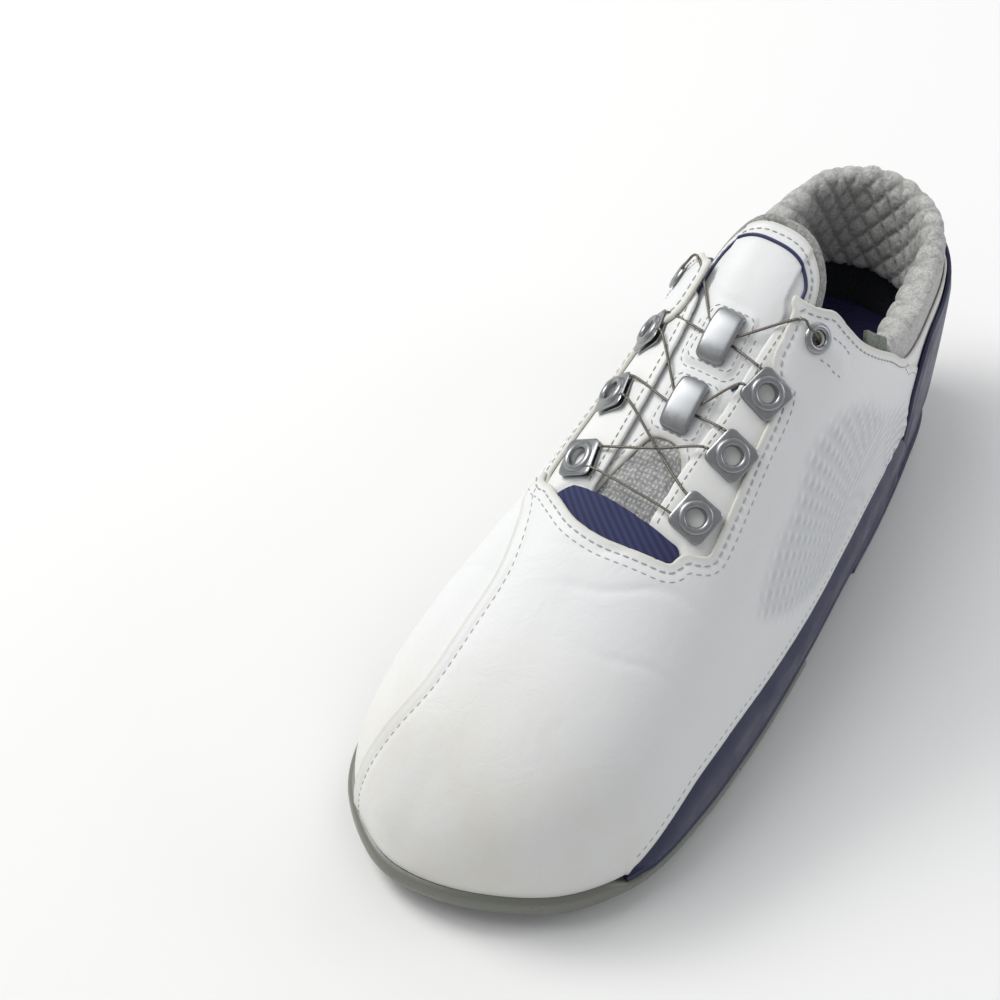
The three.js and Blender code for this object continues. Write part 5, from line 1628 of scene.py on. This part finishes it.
def prong_tree():
    """Copies a mesh round the upright axis through the origin: the number of copies is an input."""
    tree = bpy.data.node_groups.new("Ring of prongs", "GeometryNodeTree")
    tree.interface.new_socket("Geometry", in_out="INPUT", socket_type="NodeSocketGeometry")
    tree.interface.new_socket("Count", in_out="INPUT", socket_type="NodeSocketInt")
    tree.interface.new_socket("Material", in_out="INPUT", socket_type="NodeSocketMaterial")
    tree.interface.new_socket("Geometry", in_out="OUTPUT", socket_type="NodeSocketGeometry")
    given = add_node(tree, "NodeGroupInput")
    points_node = add_node(tree, "GeometryNodePoints", None, {"Count": given.outputs["Count"]})
    number = add_node(tree, "GeometryNodeInputIndex")
    turn = add_node(tree, "ShaderNodeMath", {"operation": "DIVIDE"},
                    {0: number.outputs[0], 1: given.outputs["Count"]})
    angle = add_node(tree, "ShaderNodeMath", {"operation": "MULTIPLY"},
                     {0: turn.outputs[0], 1: 2 * math.pi})
    euler = add_node(tree, "ShaderNodeCombineXYZ", None, {"Z": angle.outputs[0]})
    placed = add_node(tree, "GeometryNodeInstanceOnPoints", None, {
        "Points": points_node.outputs[0], "Instance": given.outputs["Geometry"],
        "Rotation": euler.outputs[0]})
    real = add_node(tree, "GeometryNodeRealizeInstances", None, {"Geometry": placed.outputs["Instances"]})
    dressed = add_node(tree, "GeometryNodeSetMaterial", None,
                       {"Geometry": real.outputs["Geometry"], "Material": given.outputs["Material"]})
    add_node(tree, "NodeGroupOutput", None, {"Geometry": dressed.outputs["Geometry"]})
    return tree


ring_of_prongs = prong_tree()
prong_path = [(3.6, -1.0), (5.2, -1.7), (6.8, -2.6), (8.0, -3.9), (8.6, -5.3), (8.8, -6.35)]
prong_points = smooth_space(np.array([(r, 0.0, z) for r, z in prong_path]))
prong = tube_mesh("prong", prong_points - drawing_zero / MM, 2.0, sides=10,
                  taper=np.linspace(1, 0.72, len(prong_points)))
prongs = made_by_nodes("prongs", prong.data, ring_of_prongs, Count=6, Material=clear_tpu)
prong_ring = prongs.data
bpy.data.objects.remove(prongs)
bpy.data.objects.remove(prong)
disc_rings = [circle_ring(r, z) for r, z in (
    (3.4, 3.4), (3.5, -0.3), (7.4, -0.35), (8.0, -0.7), (7.7, -1.3), (6.2, -2.2), (3.6, -3.0),
    (1.2, -3.25))]
for number, (x, y) in enumerate(cleat_spots, 1):
    place = np.array([x, y, float(np.interp(y, ground_y, ground_z))])
    cleat = ring_solid(f"cleat_{number}_moulding", disc_rings, place, upright, around=36, closed=False)
    cleat.data.materials.append(clear_tpu)
    joined = bmesh.new()
    joined.from_mesh(cleat.data)
    copy = prong_ring.copy()
    copy.transform(Matrix.Translation(Vector(to_model(place))))
    joined.from_mesh(copy)
    joined.to_mesh(cleat.data)
    joined.free()
    bpy.data.meshes.remove(copy)
    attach(cleat, "root")
    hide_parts(f"cleat_{number}")

# --- Dial -----------------------------------------------------------------------------------------
# A navy nylon housing on the heel holds the spool. The knob is over-moulded with ribbed grey rubber
# and capped by a plain navy face; it turns to wind the lace and pulls out to let it go.

dial_axes = np.array([[-1.0, 0, 0], [0, 0, 1.0], [0, 1.0, 0]])
housing_rings = [circle_ring(r, z) for r, z in (
    (2.4, -4.4), (2.4, 1.2), (12.4, 1.2), (12.6, 1.5), (12.6, 5.2), (12.8, 5.4), (14.6, 5.4), (15.0, 5.0),
    (15.0, 2.4), (14.6, 2.1), (14.6, 1.5), (15.0, 1.2), (15.0, -4.4))]
dial_housing = ring_solid("dial_housing_cup", housing_rings, dial_axis, dial_axes, around=96)


def ribbed_ring(radius, height, depth):
    """A ring with 36 grip ribs of a depth."""
    return lambda angle: (
        (radius - depth * (0.5 - 0.5 * math.tanh(2.5 * math.cos(36 * angle)))) * math.cos(angle),
        (radius - depth * (0.5 - 0.5 * math.tanh(2.5 * math.cos(36 * angle)))) * math.sin(angle), height)


knob_rings = [circle_ring(12.6, 5.75), ribbed_ring(14.7, 5.75, 0.5), ribbed_ring(15.0, 6.1, 0.8),
              ribbed_ring(15.0, 10.4, 0.8), ribbed_ring(14.8, 11.2, 0.7), ribbed_ring(14.3, 11.7, 0.4),
              circle_ring(13.4, 12.0), circle_ring(10.6, 12.0), circle_ring(10.1, 11.8),
              circle_ring(10.05, 11.1), circle_ring(0.4, 11.1), circle_ring(0.4, 9.8),
              circle_ring(12.5, 9.8)]
dial_knob = ring_solid("dial_knob_grip", knob_rings, dial_axis, dial_axes, around=432)
face_rings = [circle_ring(r, z) for r, z in (
    (0.3, 11.35), (9.6, 11.35), (9.75, 11.6), (9.6, 12.0), (8.9, 12.3), (8.3, 12.38), (8.0, 12.2),
    (7.6, 12.2), (7.3, 12.4), (4.0, 12.58), (0.3, 12.6))]
dial_face = ring_solid("dial_face_cap", face_rings, dial_axis, dial_axes, around=96, closed=False)
grip_rubber = moulded("Grey green ribbed rubber", "#6F7067", 0.7, grit=0.8)
for piece, node_name, body, finish, slot_name in (
        (dial_housing, "dial_housing", "root", navy_tpu, "navy_tpu"),
        (dial_knob, "dial_knob", "knob", grip_rubber, "grey_rubber"),
        (dial_face, "dial_face", "knob", navy_tpu, "navy_tpu")):
    dress(piece, finish, body, node_name, slot_name)

# --- Pieces inside --------------------------------------------------------------------------------
# The stiffeners and boards between the layers, the shank, the midsole, the spool's works and the
# cleats' receptacles keep their own solids and get their own finishes.

fibre_board = textile("Tan cellulose board", "#A58C63", "#C4AE86", 1.4, bump=0.3)
midsole_foam = textile("White moulded polyurethane foam", "#D2D2CC", "#E6E6E1", 1.0, bump=0.4)
spring_steel = moulded("Zinc plated spring steel", "#9A9C9E", 0.36, Metallic=1.0)
grey_nylon = moulded("Grey glass filled nylon", "#6A6B68", 0.5)
inner_finishes = {
    fibre_board: ["toe_puff", "heel_stiffener", "insole_board"],
    midsole_foam: ["midsole"],
    spring_steel: ["shank", "dial_screw"],
    grey_nylon: ["dial_spool", "dial_pawl"] + [f"receptacle_{k}" for k in range(1, 8)],
}
for finish, node_names in inner_finishes.items():
    for node_name in node_names:
        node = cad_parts[node_name]
        node.data.materials.clear()
        node.data.materials.append(finish)
